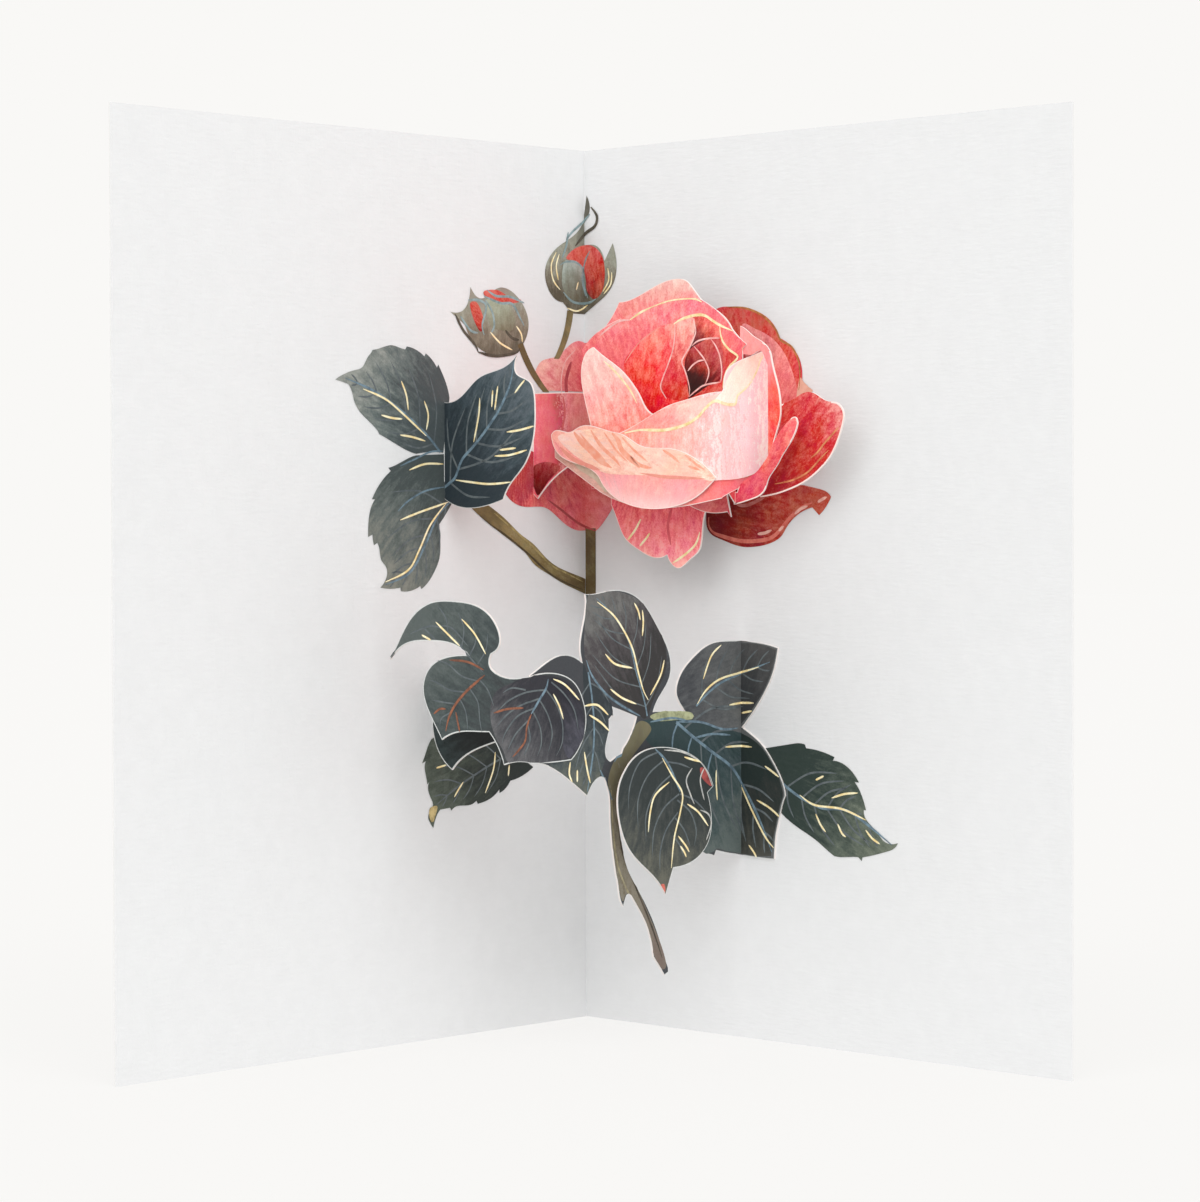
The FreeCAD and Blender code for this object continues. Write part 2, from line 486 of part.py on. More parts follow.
def printed_leaves():
    """The leaves printed flat on the lining."""
    high = toothed([(71.2, 129.3), (68.8, 130.4), (66.1, 131.2), (64.0, 131.8), (62.9, 133.2), (61.6, 134.6)],
                   [(61.2, 135.2), (58.2, 135.9), (55.8, 136.3), (53.8, 135.9), (52.2, 135.6)],
                   [(51.8, 136.2), (49.4, 135.7), (46.9, 134.4)],
                   [(46.5, 135.0), (45.0, 134.0), (43.4, 132.3)],
                   [(43.0, 132.9), (41.6, 130.7), (40.5, 128.5), (39.9, 126.4)],
                   [(41.7, 115.6), (45.3, 115.7), (49.3, 115.3)],
                   [(49.3, 115.3), (53.1, 116.4), (56.4, 117.8), (59.4, 119.0)],
                   [(59.8, 119.6), (62.9, 121.9), (65.3, 123.9), (66.3, 125.6)],
                   [(66.5, 126.3), (67.1, 127.7), (67.7, 128.5)],
                   [(67.7, 128.5), (69.3, 128.9), (71.2, 129.3)])
    low = toothed([(41.5, 115.3), (49.3, 115.0)],
                  [(49.3, 115.0), (52.3, 114.1), (54.8, 113.1), (57.0, 112.5)],
                  [(56.3, 111.9), (58.4, 110.3), (60.0, 108.6), (61.5, 106.4)],
                  [(60.6, 106.4), (61.7, 104.9), (62.4, 102.4), (62.6, 99.1)],
                  [(61.4, 99.6), (61.3, 98.7), (61.0, 97.5)],
                  [(60.1, 98.0), (59.5, 96.6), (59.0, 94.6), (57.9, 93.5), (57.4, 92.3), (57.9, 90.7),
                   (59.3, 89.3)],
                  [(59.3, 89.3), (56.6, 89.0), (53.8, 89.2)], [(53.7, 88.5), (51.1, 88.5), (48.3, 89.4)],
                  [(48.0, 88.8), (46.0, 90.2), (44.1, 92.5), (42.9, 94.8), (42.6, 97.4), (42.9, 101.5)],
                  [(42.9, 101.5), (41.2, 103.3), (39.4, 105.5)], [(41.5, 110.0), (41.5, 115.3)])
    shadow = toothed([(15.9, 52.2), (25.6, 57.5), (36.0, 60.5), (43.0, 60.0), (45.4, 59.2)],
                     [(45.4, 59.2), (46.5, 57.5), (47.3, 55.8), (48.0, 54.6)],
                     [(46.9, 55.0), (47.2, 53.3), (46.9, 52.1), (46.6, 50.4)],
                     [(46.0, 50.8), (46.3, 49.3), (45.7, 47.9), (44.9, 46.4)],
                     [(44.9, 46.4), (45.7, 45.1), (46.3, 44.0), (45.8, 42.8), (44.9, 41.7)],
                     [(44.9, 41.7), (44.3, 43.4), (43.7, 44.4), (42.9, 45.2)], [(42.9, 45.2), (40.1, 45.4)],
                     [(39.8, 44.8), (38.6, 45.5), (35.8, 45.6), (32.6, 46.4)],
                     [(32.2, 45.7), (30.0, 46.1), (28.0, 46.8), (25.9, 48.3)],
                     [(25.9, 47.5), (24.5, 48.1), (22.7, 49.8)], [(22.7, 49.8), (19.2, 50.6), (15.9, 52.2)])
    right = toothed([(50.0, 57.3), (54.2, 58.0), (57.4, 58.5), (59.5, 58.8), (61.3, 58.6)],
                    [(61.6, 57.9), (64.0, 57.7), (66.6, 57.2), (69.0, 56.5)],
                    [(68.6, 55.8), (71.0, 55.4), (73.3, 54.1), (75.3, 51.9)],
                    [(74.2, 52.0), (75.4, 50.5), (76.4, 48.6), (77.1, 46.7)],
                    [(76.5, 46.7), (76.8, 45.4), (78.7, 43.6), (80.2, 42.3), (81.7, 41.0), (83.2, 40.6),
                     (85.2, 40.9)],
                    [(85.2, 40.9), (84.2, 39.8), (82.0, 39.0), (79.4, 38.3), (76.2, 37.6)],
                    [(76.0, 36.9), (75.1, 37.6)], [(75.1, 37.6), (73.0, 37.5), (70.4, 37.3), (68.9, 37.4)],
                    [(68.9, 37.4), (66.8, 38.6), (64.5, 40.0), (60.0, 42.1), (55.2, 44.8)],
                    [(50.0, 50.0), (50.0, 57.3)])
    return [left_print(high), left_print(low), left_print(shadow), right_print(right)]


def printed_stems():
    """The brown stems printed on the lining."""
    branch = flat_face([(33.4, 107.4), (28.6, 105.1), (22.8, 101.7), (19.5, 99.4), (15.7, 97.4),
                        (12.4, 94.9), (9.4, 93.1), (5.2, 91.6), (0.0, 90.1)],
                       [(0.0, 90.1), (0.0, 87.0)],
                       [(0.0, 87.0), (4.0, 88.3), (7.6, 89.6), (11.8, 91.5), (15.7, 93.5), (17.8, 95.4),
                        (20.7, 97.2), (28.3, 101.3), (34.4, 105.2)], [(34.4, 105.2), (33.4, 107.4)])
    upright = oblong(0.2, 3.2, 86.6, 100.5)
    bud_stem = flat_face([(20.2, 137.5), (17.4, 132.9), (12.6, 128.2)], [(12.6, 128.2), (10.8, 128.2)],
                         [(10.8, 128.2), (15.2, 132.7), (18.6, 138.0)], [(18.6, 138.0), (20.2, 137.5)])
    top_stem = flat_face([(5.3, 145.0), (7.2, 138.6), (9.4, 135.0)], [(9.4, 135.0), (7.8, 135.0)],
                         [(7.8, 135.0), (5.2, 139.0), (3.4, 145.0)], [(3.4, 145.0), (5.3, 145.0)])
    return [left_print(branch), right_print(upright), left_print(bud_stem), left_print(top_stem)]


def printed_sepals():
    """The green sepals of the two buds."""
    low_bud = flat_face([(39.5, 143.4), (36.0, 143.8), (33.8, 148.5)],
                        [(33.8, 148.5), (30.0, 146.5), (26.0, 148.6), (20.0, 147.0), (16.9, 141.6),
                         (19.5, 136.8), (26.1, 135.1), (32.4, 137.1), (35.4, 141.0)],
                        [(35.4, 141.0), (39.5, 143.4)])
    high_left = flat_face([(0.0, 164.0), (3.0, 160.5), (8.6, 157.4), (11.9, 152.9), (10.6, 148.6),
                           (6.6, 146.6)], [(6.6, 146.6), (4.0, 144.4)], [(4.0, 144.4), (0.0, 144.4)],
                          [(0.0, 144.4), (0.0, 164.0)])
    high_right = flat_face([(0.0, 144.4), (4.7, 147.0)], [(4.7, 147.0), (8.9, 151.0), (8.4, 158.5)],
                           [(8.4, 158.5), (6.0, 155.0)], [(6.0, 155.0), (4.0, 158.0), (1.0, 158.5)],
                           [(1.0, 158.5), (0.0, 158.5)], [(0.0, 158.5), (0.0, 144.4)])
    curl = flat_face([(0.0, 163.0), (1.7, 166.0), (0.8, 168.6)], [(0.8, 168.6), (0.0, 164.6)],
                     [(0.0, 164.6), (0.0, 163.0)])
    return [left_print(low_bud), left_print(high_left), right_print(high_right), right_print(curl)]


def printed_petals():
    """The red and pink petals of the bloom that are printed on the lining."""
    back_left = flat_face([(0.0, 128.5), (0.0, 138.5)], [(0.0, 138.5), (3.7, 138.4), (6.6, 136.6),
                           (8.9, 135.4), (13.4, 134.2), (14.9, 132.2), (12.6, 128.5)],
                          [(12.6, 128.5), (0.0, 128.5)])
    back_right = flat_face([(0.0, 128.5), (0.0, 138.5)], [(0.0, 138.5), (4.6, 137.3), (8.1, 132.7),
                            (8.6, 128.5)], [(8.6, 128.5), (0.0, 128.5)])
    low_left = flat_face([(0.0, 112.0), (0.0, 100.1)], [(0.0, 100.1), (7.5, 102.2), (12.0, 104.7),
                          (18.0, 104.9), (22.4, 106.3), (24.4, 108.3), (17.0, 116.4)],
                         [(17.0, 116.4), (0.0, 112.0)])
    low_right = flat_face([(0.0, 112.0), (0.0, 100.1)], [(0.0, 100.1), (3.0, 99.9), (6.0, 102.2),
                           (9.2, 106.3), (9.5, 112.0)], [(9.5, 112.0), (0.0, 112.0)])
    outer = flat_face([(36.0, 143.0), (38.1, 144.1), (42.2, 144.2), (46.8, 143.6), (52.2, 141.2),
                       (54.8, 137.6)], [(54.8, 137.6), (57.5, 136.2), (60.1, 133.2), (60.6, 128.3),
                       (59.6, 125.0)], [(59.6, 125.0), (40.0, 125.0)], [(40.0, 125.0), (36.0, 143.0)])
    curled = flat_face([(34.0, 108.0), (34.7, 102.2), (35.0, 100.6), (36.4, 99.2), (38.6, 98.4),
                        (41.3, 97.6), (44.6, 96.9), (47.8, 96.9), (50.8, 97.3), (53.5, 98.1),
                        (55.1, 99.0), (56.4, 100.6), (58.0, 102.2), (60.9, 103.9), (63.3, 104.6)],
                       [(63.3, 104.6), (65.1, 103.1)], [(65.1, 103.1), (66.7, 104.5), (68.2, 106.6)],
                       [(68.2, 106.6), (67.2, 107.5), (65.4, 108.1), (63.3, 108.5), (60.9, 108.9),
                        (57.5, 108.8), (54.0, 108.4)], [(54.0, 108.4), (34.0, 108.0)])
    return [left_print(back_left), right_print(back_right), left_print(low_left), right_print(low_right),
            right_print(outer), right_print(curled)]


def export(name, shape):
    """Moves a piece into the card's frame and writes its STEP file."""
    placed = shape.copy()
    placed.translate(ORIGIN_SHIFT)
    placed.exportStep(os.path.join("parts", name + ".step"))
    print(name, "solids", len(placed.Solids), "valid", placed.isValid(), "volume", round(placed.Volume, 1))


os.makedirs("parts", exist_ok=True)

PAPER = {
    "cover_card": cover_card(),
    "lining_sheet": lining_sheet(),
    "band_petal": band_petal(),
    "crown_petal": crown_petal(),
    "heart_petals": heart_petals(),
    "right_petal": right_petal(),
    "base_petal": base_petal(),
    "tip_petal": tip_petal(),
    "left_petal": left_petal(),
    "under_petal": under_petal(),
    "front_petal": front_petal(),
    "low_petal": low_petal(),
    "wing_petal": wing_petal(),
    "side_petal": side_petal(),
    "heart_strut_left": strut(LEFT_STRUT_Q, HEART_P, HEART_STRUT_Z),
    "heart_strut_right": strut(RIGHT_STRUT_Q, HEART_P, HEART_STRUT_Z),
    "wing_strut": strut(WING_STRUT_Q, WING_P, WING_STRUT_Z),
    "upper_leaf": upper_leaf(),
    "upper_leaf_bracket": upper_leaf_bracket(),
    "under_leaf_bracket": under_leaf_bracket(),
    "leaf_cluster": leaf_cluster(),
    "stem_sheet": stem_sheet(),
    "front_leaf": front_leaf(),
    "front_leaf_pad": front_leaf_pad(),
}

PRINT = {
    "printed_stems": printed_stems(),
    "printed_sepals": printed_sepals(),
    "printed_leaves": printed_leaves(),
    "printed_petals": printed_petals(),
}

for name, piece in PAPER.items():
    export(name, piece)

# The printed film stops where a tab is glued down, and where another field lies.
lies_on_lining = [piece for name, piece in PAPER.items() if name not in ("cover_card", "lining_sheet")]
for name, fields in PRINT.items():
    clear_fields = []
    for field in fields:
        clear_fields.append(field.cut(lies_on_lining))
        lies_on_lining.append(field)
    export(name, Part.makeCompound(clear_fields))
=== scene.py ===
import bmesh
import bpy
import math
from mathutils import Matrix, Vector


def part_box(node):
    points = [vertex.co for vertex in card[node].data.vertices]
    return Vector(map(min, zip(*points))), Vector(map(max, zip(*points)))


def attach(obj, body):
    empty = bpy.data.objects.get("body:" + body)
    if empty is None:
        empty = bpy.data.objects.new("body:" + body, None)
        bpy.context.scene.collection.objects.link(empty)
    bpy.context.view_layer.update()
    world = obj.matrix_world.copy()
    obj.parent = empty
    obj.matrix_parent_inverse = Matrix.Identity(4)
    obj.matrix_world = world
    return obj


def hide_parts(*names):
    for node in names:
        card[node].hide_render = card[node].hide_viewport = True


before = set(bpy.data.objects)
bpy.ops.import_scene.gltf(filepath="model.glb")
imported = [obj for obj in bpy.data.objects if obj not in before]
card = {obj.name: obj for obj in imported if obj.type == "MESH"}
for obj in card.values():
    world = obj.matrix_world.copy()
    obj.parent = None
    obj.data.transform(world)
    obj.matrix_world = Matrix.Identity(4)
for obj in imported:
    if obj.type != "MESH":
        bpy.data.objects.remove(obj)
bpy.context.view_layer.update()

# The view: a long lens at about the height of the leaves, a little left of the fold.
lens = bpy.data.cameras.new("view")
lens.lens = 112.9
lens.clip_start = 0.01
view = bpy.data.objects.new("view", lens)
view.location = (-0.0134, -0.72845, 0.1037)
view.rotation_euler = (math.radians(90 - 1.343), math.radians(0.15), math.radians(-1.22))
bpy.context.scene.collection.objects.link(view)
bpy.context.scene.camera = view
bpy.context.scene.view_settings.view_transform = "Standard"
bpy.context.view_layer.update()


# The room: even white light from all round, and a broad soft lamp above the viewer on each side.
# Each lamp lights the panel across from it and lays the rose's shadow softly on it.
LEFT_LAMP, RIGHT_LAMP = 0.8, 1.0
LAMP_TILT = math.radians(48)


def linear(rgb):
    """A colour as a screen shows it, 0 to 255, as the light that it stands for."""
    return tuple(((c / 255 + 0.055) / 1.055) ** 2.4 if c > 10 else c / 255 / 12.92 for c in rgb)


ROOM_WHITE = linear((249, 248, 246))
room = bpy.data.worlds.new("room")
room.use_nodes = True
room.node_tree.nodes["Background"].inputs["Color"].default_value = (*ROOM_WHITE, 1)
bpy.context.scene.world = room

for name, energy, turn in (("left_window", LEFT_LAMP, -32), ("right_window", RIGHT_LAMP, 25)):
    lamp = bpy.data.lights.new(name, "SUN")
    lamp.energy = energy
    lamp.angle = math.radians(44)
    window = bpy.data.objects.new(name, lamp)
    window.rotation_euler = (LAMP_TILT, 0, math.radians(turn))
    bpy.context.scene.collection.objects.link(window)


class Amount:
    """A number that varies over a surface. Python's operators on it add Math nodes."""

    def __init__(self, finish, socket):
        self.finish, self.socket = finish, socket

    def reckon(self, operation, *others):
        return self.finish.node("ShaderNodeMath", {"operation": operation}, self, *others)

    def __add__(self, other):
        return self.reckon("ADD", other)

    def __sub__(self, other):
        return self.reckon("SUBTRACT", other)

    def __rsub__(self, other):
        return self.finish.node("ShaderNodeMath", {"operation": "SUBTRACT"}, other, self)

    def __mul__(self, other):
        return self.reckon("MULTIPLY", other)

    def __truediv__(self, other):
        return self.reckon("DIVIDE", other)

    def __rtruediv__(self, other):
        return self.finish.node("ShaderNodeMath", {"operation": "DIVIDE"}, other, self)

    __radd__, __rmul__ = __add__, __mul__


class Finish:
    """One material. Its nodes come from node(), and shade() connects them to the surface."""

    def __init__(self, name, roughness=0.7, metallic=0.0, specular=0.3):
        self.material = bpy.data.materials.new(name)
        self.material.use_nodes = True
        self.tree = self.material.node_tree
        self.surface = self.tree.nodes["Principled BSDF"]
        self.surface.inputs["Roughness"].default_value = roughness
        self.surface.inputs["Metallic"].default_value = metallic
        self.surface.inputs["Specular IOR Level"].default_value = specular

    def node(self, kind, settings, *values, output=0, mix=None, **named):
        """A node of this kind, its settings first and then its sockets' values or links.

        mix is a colour mix's factor and its two colours, whose sockets share their names.
        """
        made = self.tree.nodes.new(kind)
        for name, value in settings.items():
            if name == "stops":
                while len(made.color_ramp.elements) < len(value):
                    made.color_ramp.elements.new(1.0)
                for element, (place, colour) in zip(made.color_ramp.elements, value):
                    element.position, element.color = place, (*colour, 1)
            else:
                setattr(made, name, value)
        for name, value in [*enumerate(values), *zip((0, 6, 7), mix or ()), *named.items()]:
            socket = made.inputs[name]
            if isinstance(value, Amount):
                self.tree.links.new(value.socket, socket)
            else:
                socket.default_value = value
        return Amount(self, made.outputs[output])

    def cloud(self, place, scale, detail=2.0, roughness=0.5):
        """Soft noise of about 0 to 1."""
        return self.node("ShaderNodeTexNoise", {}, Vector=place, Scale=scale, Detail=detail,
                         Roughness=roughness)

    def shade(self, name, amount):
        self.tree.links.new(amount.socket, self.surface.inputs[name])

    def relief(self, height, distance, strength=1.0):
        self.shade("Normal", self.node("ShaderNodeBump", {}, Strength=strength, Distance=distance,
                                       Height=height))


floor_finish = Finish("floor", roughness=0.9, specular=0.0)
FLOOR_GLOW = 0.86
floor_light = 1.0 + (LEFT_LAMP + RIGHT_LAMP) * math.cos(LAMP_TILT) / math.pi
floor_finish.surface.inputs["Base Color"].default_value = (*[(1 - FLOOR_GLOW) / floor_light] * 3, 1)
floor_finish.surface.inputs["Emission Color"].default_value = (*ROOM_WHITE, 1)
floor_finish.surface.inputs["Emission Strength"].default_value = FLOOR_GLOW
ground = bmesh.new()
bmesh.ops.create_circle(ground, cap_ends=True, segments=64, radius=4.0)
floor_mesh = bpy.data.meshes.new("floor")
ground.to_mesh(floor_mesh)
floor_mesh.materials.append(floor_finish.material)
floor = bpy.data.objects.new("floor", floor_mesh)
bpy.context.scene.collection.objects.link(floor)


# The cover and the lining: one folded white card glued in another, both embossed with a fine
# linen weave. The pop-up's own paper is smooth, and a pad of white foam carries the front leaf.
def linen(name, rgb):
    """White card with crossed threads pressed into it, seen along the panel and up it."""
    finish = Finish(name, roughness=0.8)
    place = finish.node("ShaderNodeTexCoord", {}, output=3)
    along = finish.node("ShaderNodeMapping", {}, Vector=place, Scale=(1.46, 0.0, 0.22))
    upward = finish.node("ShaderNodeMapping", {}, Vector=place, Scale=(0.32, 0.0, 1.0))
    weft = finish.cloud(upward, 1500, 2.0)
    warp = finish.cloud(along, 1100, 2.0)
    fibre = finish.cloud(place, 260, 4.0)
    finish.relief(weft + warp + fibre * 0.6, 0.00011, 0.55)
    tone = finish.node("ShaderNodeMapRange", {}, fibre + weft * 0.5, 0.5, 1.0, 0.97, 1.0)
    white = finish.node("ShaderNodeHueSaturation", {}, Value=tone, Color=(*linear(rgb), 1))
    finish.shade("Base Color", white)
    return finish.material


def plain_paper(name, rgb):
    """Smooth white paper, with the faint cloudiness of its pulp."""
    finish = Finish(name, roughness=0.75)
    place = finish.node("ShaderNodeTexCoord", {}, output=3)
    pulp = finish.cloud(place, 900, 4.0)
    finish.relief(pulp, 0.00003, 0.4)
    tone = finish.node("ShaderNodeMapRange", {}, pulp, 0.3, 0.7, 0.975, 1.0)
    finish.shade("Base Color", finish.node("ShaderNodeHueSaturation", {}, Value=tone,
                                           Color=(*linear(rgb), 1)))
    return finish.material


def dress(material, *names):
    """Gives CAD nodes their material."""
    for name in names:
        card[name].data.materials.clear()
        card[name].data.materials.append(material)


dress(linen("cover_card", (226, 226, 225)), "cover_card")
dress(linen("lining_card", (225, 226, 227)), "lining_sheet")
dress(
    plain_paper("pop_up_paper", (236, 226, 222)), "band_petal", "crown_petal", "heart_petals",
    "right_petal", "base_petal", "tip_petal", "left_petal", "under_petal", "front_petal", "low_petal",
    "wing_petal", "side_petal", "upper_leaf", "leaf_cluster", "stem_sheet", "front_leaf",
    "under_leaf_bracket", "heart_strut_left", "heart_strut_right", "wing_strut", "upper_leaf_bracket")
foam = Finish("white_foam", roughness=0.9)
foam_place = foam.node("ShaderNodeTexCoord", {}, output=3)
foam.relief(foam.node("ShaderNodeTexVoronoi", {}, Vector=foam_place, Scale=2500), 0.00015, 0.7)
foam.surface.inputs["Base Color"].default_value = (0.85, 0.85, 0.83, 1)
dress(foam.material, "front_leaf_pad")


# The four flat leaves: printed on the lining, without a white border. Each is a watercolour that
# streaks from stem to tip, a pale midrib with fine side veins, and short gilt lines.
PANEL_WIDTH = 127.0
HALF_OPENING = math.radians(43.05)
SPINE_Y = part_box("lining_sheet")[0].y * 1000 + PANEL_WIDTH * math.cos(HALF_OPENING)


def spot(p, q, z):
    """A point in the card's frame, from its distances in mm from the right and left panels."""
    x = math.sin(HALF_OPENING) * (q - p)
    y = SPINE_Y - math.cos(HALF_OPENING) * (p + q)
    return Vector((x, y, z)) / 1000


def distances(point):
    """The distances p and q, and the height z, in mm, of a point in the card's frame."""
    across = point.x * 1000 / math.sin(HALF_OPENING)
    back = (SPINE_Y - point.y * 1000) / math.cos(HALF_OPENING)
    return (back - across) / 2, (back + across) / 2, point.z * 1000


def smooth(points, closed, step=0.5):
    """A smooth line through the points. A point given twice makes a corner."""
    count = len(points)
    line = []
    for i in range(count if closed else count - 1):
        b, c = points[i], points[(i + 1) % count]
        if b == c:
            continue
        a = points[i - 1] if closed or i > 0 else b
        d = points[(i + 2) % count] if closed or i + 2 < count else c
        pieces = max(1, round(math.dist(b, c) / step))
        for k in range(pieces):
            t = k / pieces
            line.append(tuple(b[j] + 0.5 * ((c[j] - a[j]) * t
                                            + (2 * a[j] - 5 * b[j] + 4 * c[j] - d[j]) * t * t
                                            + (3 * b[j] - a[j] - 3 * c[j] + d[j]) * t ** 3)
                              for j in (0, 1)))
    if not closed:
        line.append(points[-1])
    return line


PICTURE_MIDDLE = (600, 601)
PICTURE_FOCUS = 3770


class Sheet:
    """The printed faces of a paper piece, unrolled: s runs to the viewer's right, z up.

    p and q are the levels of the faces parallel to the right and to the left panel. A sheet with
    both is folded, towards the viewer, or away where valley is true.
    """

    def __init__(self, p=None, q=None, valley=False):
        self.p, self.q, self.valley = p, q, valley
        self.fold = None if p is None or q is None else 0.0 if valley else q

    def place(self, s, z, h):
        """A point of the flat sheet, h in front of it, where it stands in the card."""
        p, q = self.p, self.q
        if q is None:
            return spot(p + h, s, z)
        if p is None:
            return spot(-s, q + h, z)
        left, right = s < self.fold - 1e-4, s > self.fold + 1e-4
        if self.valley:
            return spot(p - s if left else p + h, q + s if right else q + h, z)
        return spot(p + q - s if right else p + h, s if left else q + h, z)

    def flat(self, point):
        """Where a point of the piece's surface lies on the flat sheet, or None off its faces."""
        p, q, z = distances(point)
        on_p = self.p is not None and abs(p - self.p) < 0.02
        on_q = self.q is not None and abs(q - self.q) < 0.02
        if on_p and on_q:
            return (self.fold, z)
        if on_p:
            return (q - self.q, z) if self.valley else (q, z)
        if on_q:
            if self.valley:
                return (self.p - p, z)
            return (-p, z) if self.p is None else (self.q + self.p - p, z)
        return None

    def meet(self, px, py, p=None, q=None):
        """Where the line of sight of a picture point meets a level: the other distance, and z."""
        turn = view.matrix_world.to_3x3()
        sight = turn @ Vector((px - PICTURE_MIDDLE[0], PICTURE_MIDDLE[1] - py, -PICTURE_FOCUS))
        eye_p, eye_q, eye_z = distances(view.location)
        far_p, far_q, far_z = distances(view.location + sight)
        if p is not None:
            t = (p - eye_p) / (far_p - eye_p)
            return eye_q + t * (far_q - eye_q), eye_z + t * (far_z - eye_z)
        t = (q - eye_q) / (far_q - eye_q)
        return eye_p + t * (far_p - eye_p), eye_z + t * (far_z - eye_z)

    def seen(self, px, py):
        """The point of the flat sheet that the picture shows there, the picture being 1200 wide."""
        if self.valley or self.p is None:
            p, z = self.meet(px, py, q=self.q)
            if self.p is None:
                return -p, z
            if p >= self.p:
                return self.p - p, z
            q, z = self.meet(px, py, p=self.p)
            return q - self.q, z
        q, z = self.meet(px, py, p=self.p)
        if self.q is None or q <= self.q:
            return q, z
        p, z = self.meet(px, py, q=self.q)
        return self.q + self.p - p, z


WASH_LEVEL = 0.03
GILT_LEVEL = 0.09
FILM = 0.000012


class Print:
    """The ink on a paper piece: flat fields and brush lines on its faces, a hair's breadth thick.

    Levels are heights above the paper in mm, so that each ink lies over the one before. Ink that
    is trimmed ends at the cut edge of its paper.
    """

    def __init__(self, name, sheet, trimmed=True):
        self.name, self.sheet, self.trimmed = name, sheet, trimmed
        self.flat = bmesh.new()
        self.rim = self.flat.verts.layers.float.new("rim")
        self.inks = []
        self.edges = []

    def ink(self, material):
        if material not in self.inks:
            self.inks.append(material)
        return self.inks.index(material)

    def cover(self, node, material, border=0.3, within=(-1000, 1000, -1000, 1000), bleeds=()):
        """Ink all over the printed faces of a CAD piece, up to the white border round its cut edge.

        within is the part of the flat sheet to cover, as least and most s and z. The ink runs out
        over the edge inside the bleeds, each a box of picture points.
        """
        left, right, low, high = within
        cut = bmesh.new()
        cut.from_mesh(card[node].data)
        bmesh.ops.remove_doubles(cut, verts=cut.verts, dist=2e-6)
        front = []
        for face in cut.faces:
            spots = [self.sheet.flat(v.co) for v in face.verts]
            middle = self.sheet.flat(face.calc_center_median())
            printed = middle and None not in spots and face.normal.y < -0.1
            if printed and left < middle[0] < right and low < middle[1] < high:
                front.append(face)
        back = set(cut.faces) - set(front)
        bmesh.ops.delete(cut, geom=list(back), context="FACES")
        for v in cut.verts:
            v.co = (*self.sheet.flat(v.co), WASH_LEVEL)
        cut.normal_update()
        rim = cut.verts.layers.float.new("rim")
        if border:
            bmesh.ops.inset_region(cut, faces=cut.faces[:], thickness=border, use_boundary=True,
                                   use_even_offset=False)
        boxes = [(*self.sheet.seen(x0, y1), *self.sheet.seen(x1, y0)) for x0, y0, x1, y1 in bleeds]
        for v in cut.verts:
            bare = v.is_boundary and border and not any(s0 < v.co.x < s1 and z0 < v.co.y < z1
                                                        for s0, z0, s1, z1 in boxes)
            v[rim] = 0.0 if bare else 1.0
        for face in cut.faces:
            face.material_index = self.ink(material)
            face.smooth = False
        self.edges = [[v.co.xy.copy() for v in edge.verts] for edge in cut.edges if edge.is_boundary]
        part = bpy.data.meshes.new("cut")
        cut.to_mesh(part)
        self.flat.from_mesh(part)
        bpy.data.meshes.remove(part)

    def on_paper(self, s, z):
        """The point itself, or the nearest one on the paper if it lies past the cut edge."""
        point = Vector((s, z))
        inside, near = not self.trimmed, None
        for a, b in self.edges if self.trimmed else ():
            if (a.y > z) != (b.y > z) and s < a.x + (z - a.y) / (b.y - a.y) * (b.x - a.x):
                inside = not inside
            side = b - a
            share = (point - a).dot(side) / max(side.length_squared, 1e-9)
            foot = a + side * min(1.0, max(0.0, share))
            if near is None or (foot - point).length < (near - point).length:
                near = foot
        return point if inside else near + (near - point).normalized() * 0.1

    def field(self, outline, material, level):
        """A flat field of ink inside a smooth outline of picture points."""
        ring = smooth([self.sheet.seen(px, py) for px, py in outline], closed=True)
        verts = [self.flat.verts.new((*self.on_paper(s, z), level)) for s, z in ring]
        for v in verts:
            v[self.rim] = 1.0
        face = self.flat.faces.new(verts)
        face.material_index = self.ink(material)
        bmesh.ops.triangulate(self.flat, faces=[face])
        bmesh.ops.remove_doubles(self.flat, verts=verts, dist=0.01)

    def lines(self, material, width, level, *strokes, ends=(0.3, 0.3)):
        """Brush lines, each through its picture points. The ends taper to shares of the width."""
        for points in strokes:
            self.stroke([self.sheet.seen(px, py) for px, py in points], material, width, level, ends)

    def gild(self, width, *strokes, level=GILT_LEVEL):
        """Gilt lines, which lie over the other inks."""
        self.lines(gilt, width, level, *strokes)

    def stroke(self, points, material, width, level, ends=(0.3, 0.3)):
        """A brush line through points of the flat sheet."""
        path = smooth(points, closed=False)
        count = len(path) - 1
        strip = bmesh.ops.create_grid(self.flat, x_segments=count, y_segments=1, size=1.0)["verts"]
        for v in strip:
            i = round((v.co.x + 1) / 2 * count)
            (s0, z0), (s1, z1) = path[max(i - 1, 0)], path[min(i + 1, count)]
            run = math.hypot(s1 - s0, z1 - z0)
            swell = min(1.0, ends[0] + 3.5 * i / count, ends[1] + 3.5 * (count - i) / count)
            reach = v.co.y * width / 2 * swell
            s, z = path[i][0] - (z1 - z0) / run * reach, path[i][1] + (s1 - s0) / run * reach
            v.co = (*self.on_paper(s, z), level)
            v[self.rim] = 1.0
        for face in {f for v in strip for f in v.link_faces}:
            face.material_index = self.ink(material)
        bmesh.ops.remove_doubles(self.flat, verts=strip, dist=0.01)

    def room(self, start, way):
        """How far the last piece of paper covered goes on from a point."""
        best = 1000.0
        for a, b in self.edges:
            side = b - a
            turn = way.x * side.y - way.y * side.x
            if abs(turn) > 1e-9:
                gap = a - start
                reach = (gap.x * side.y - gap.y * side.x) / turn
                along = (gap.x * way.y - gap.y * way.x) / turn
                if reach > 0.05 and 0 <= along <= 1:
                    best = min(best, reach)
        return best

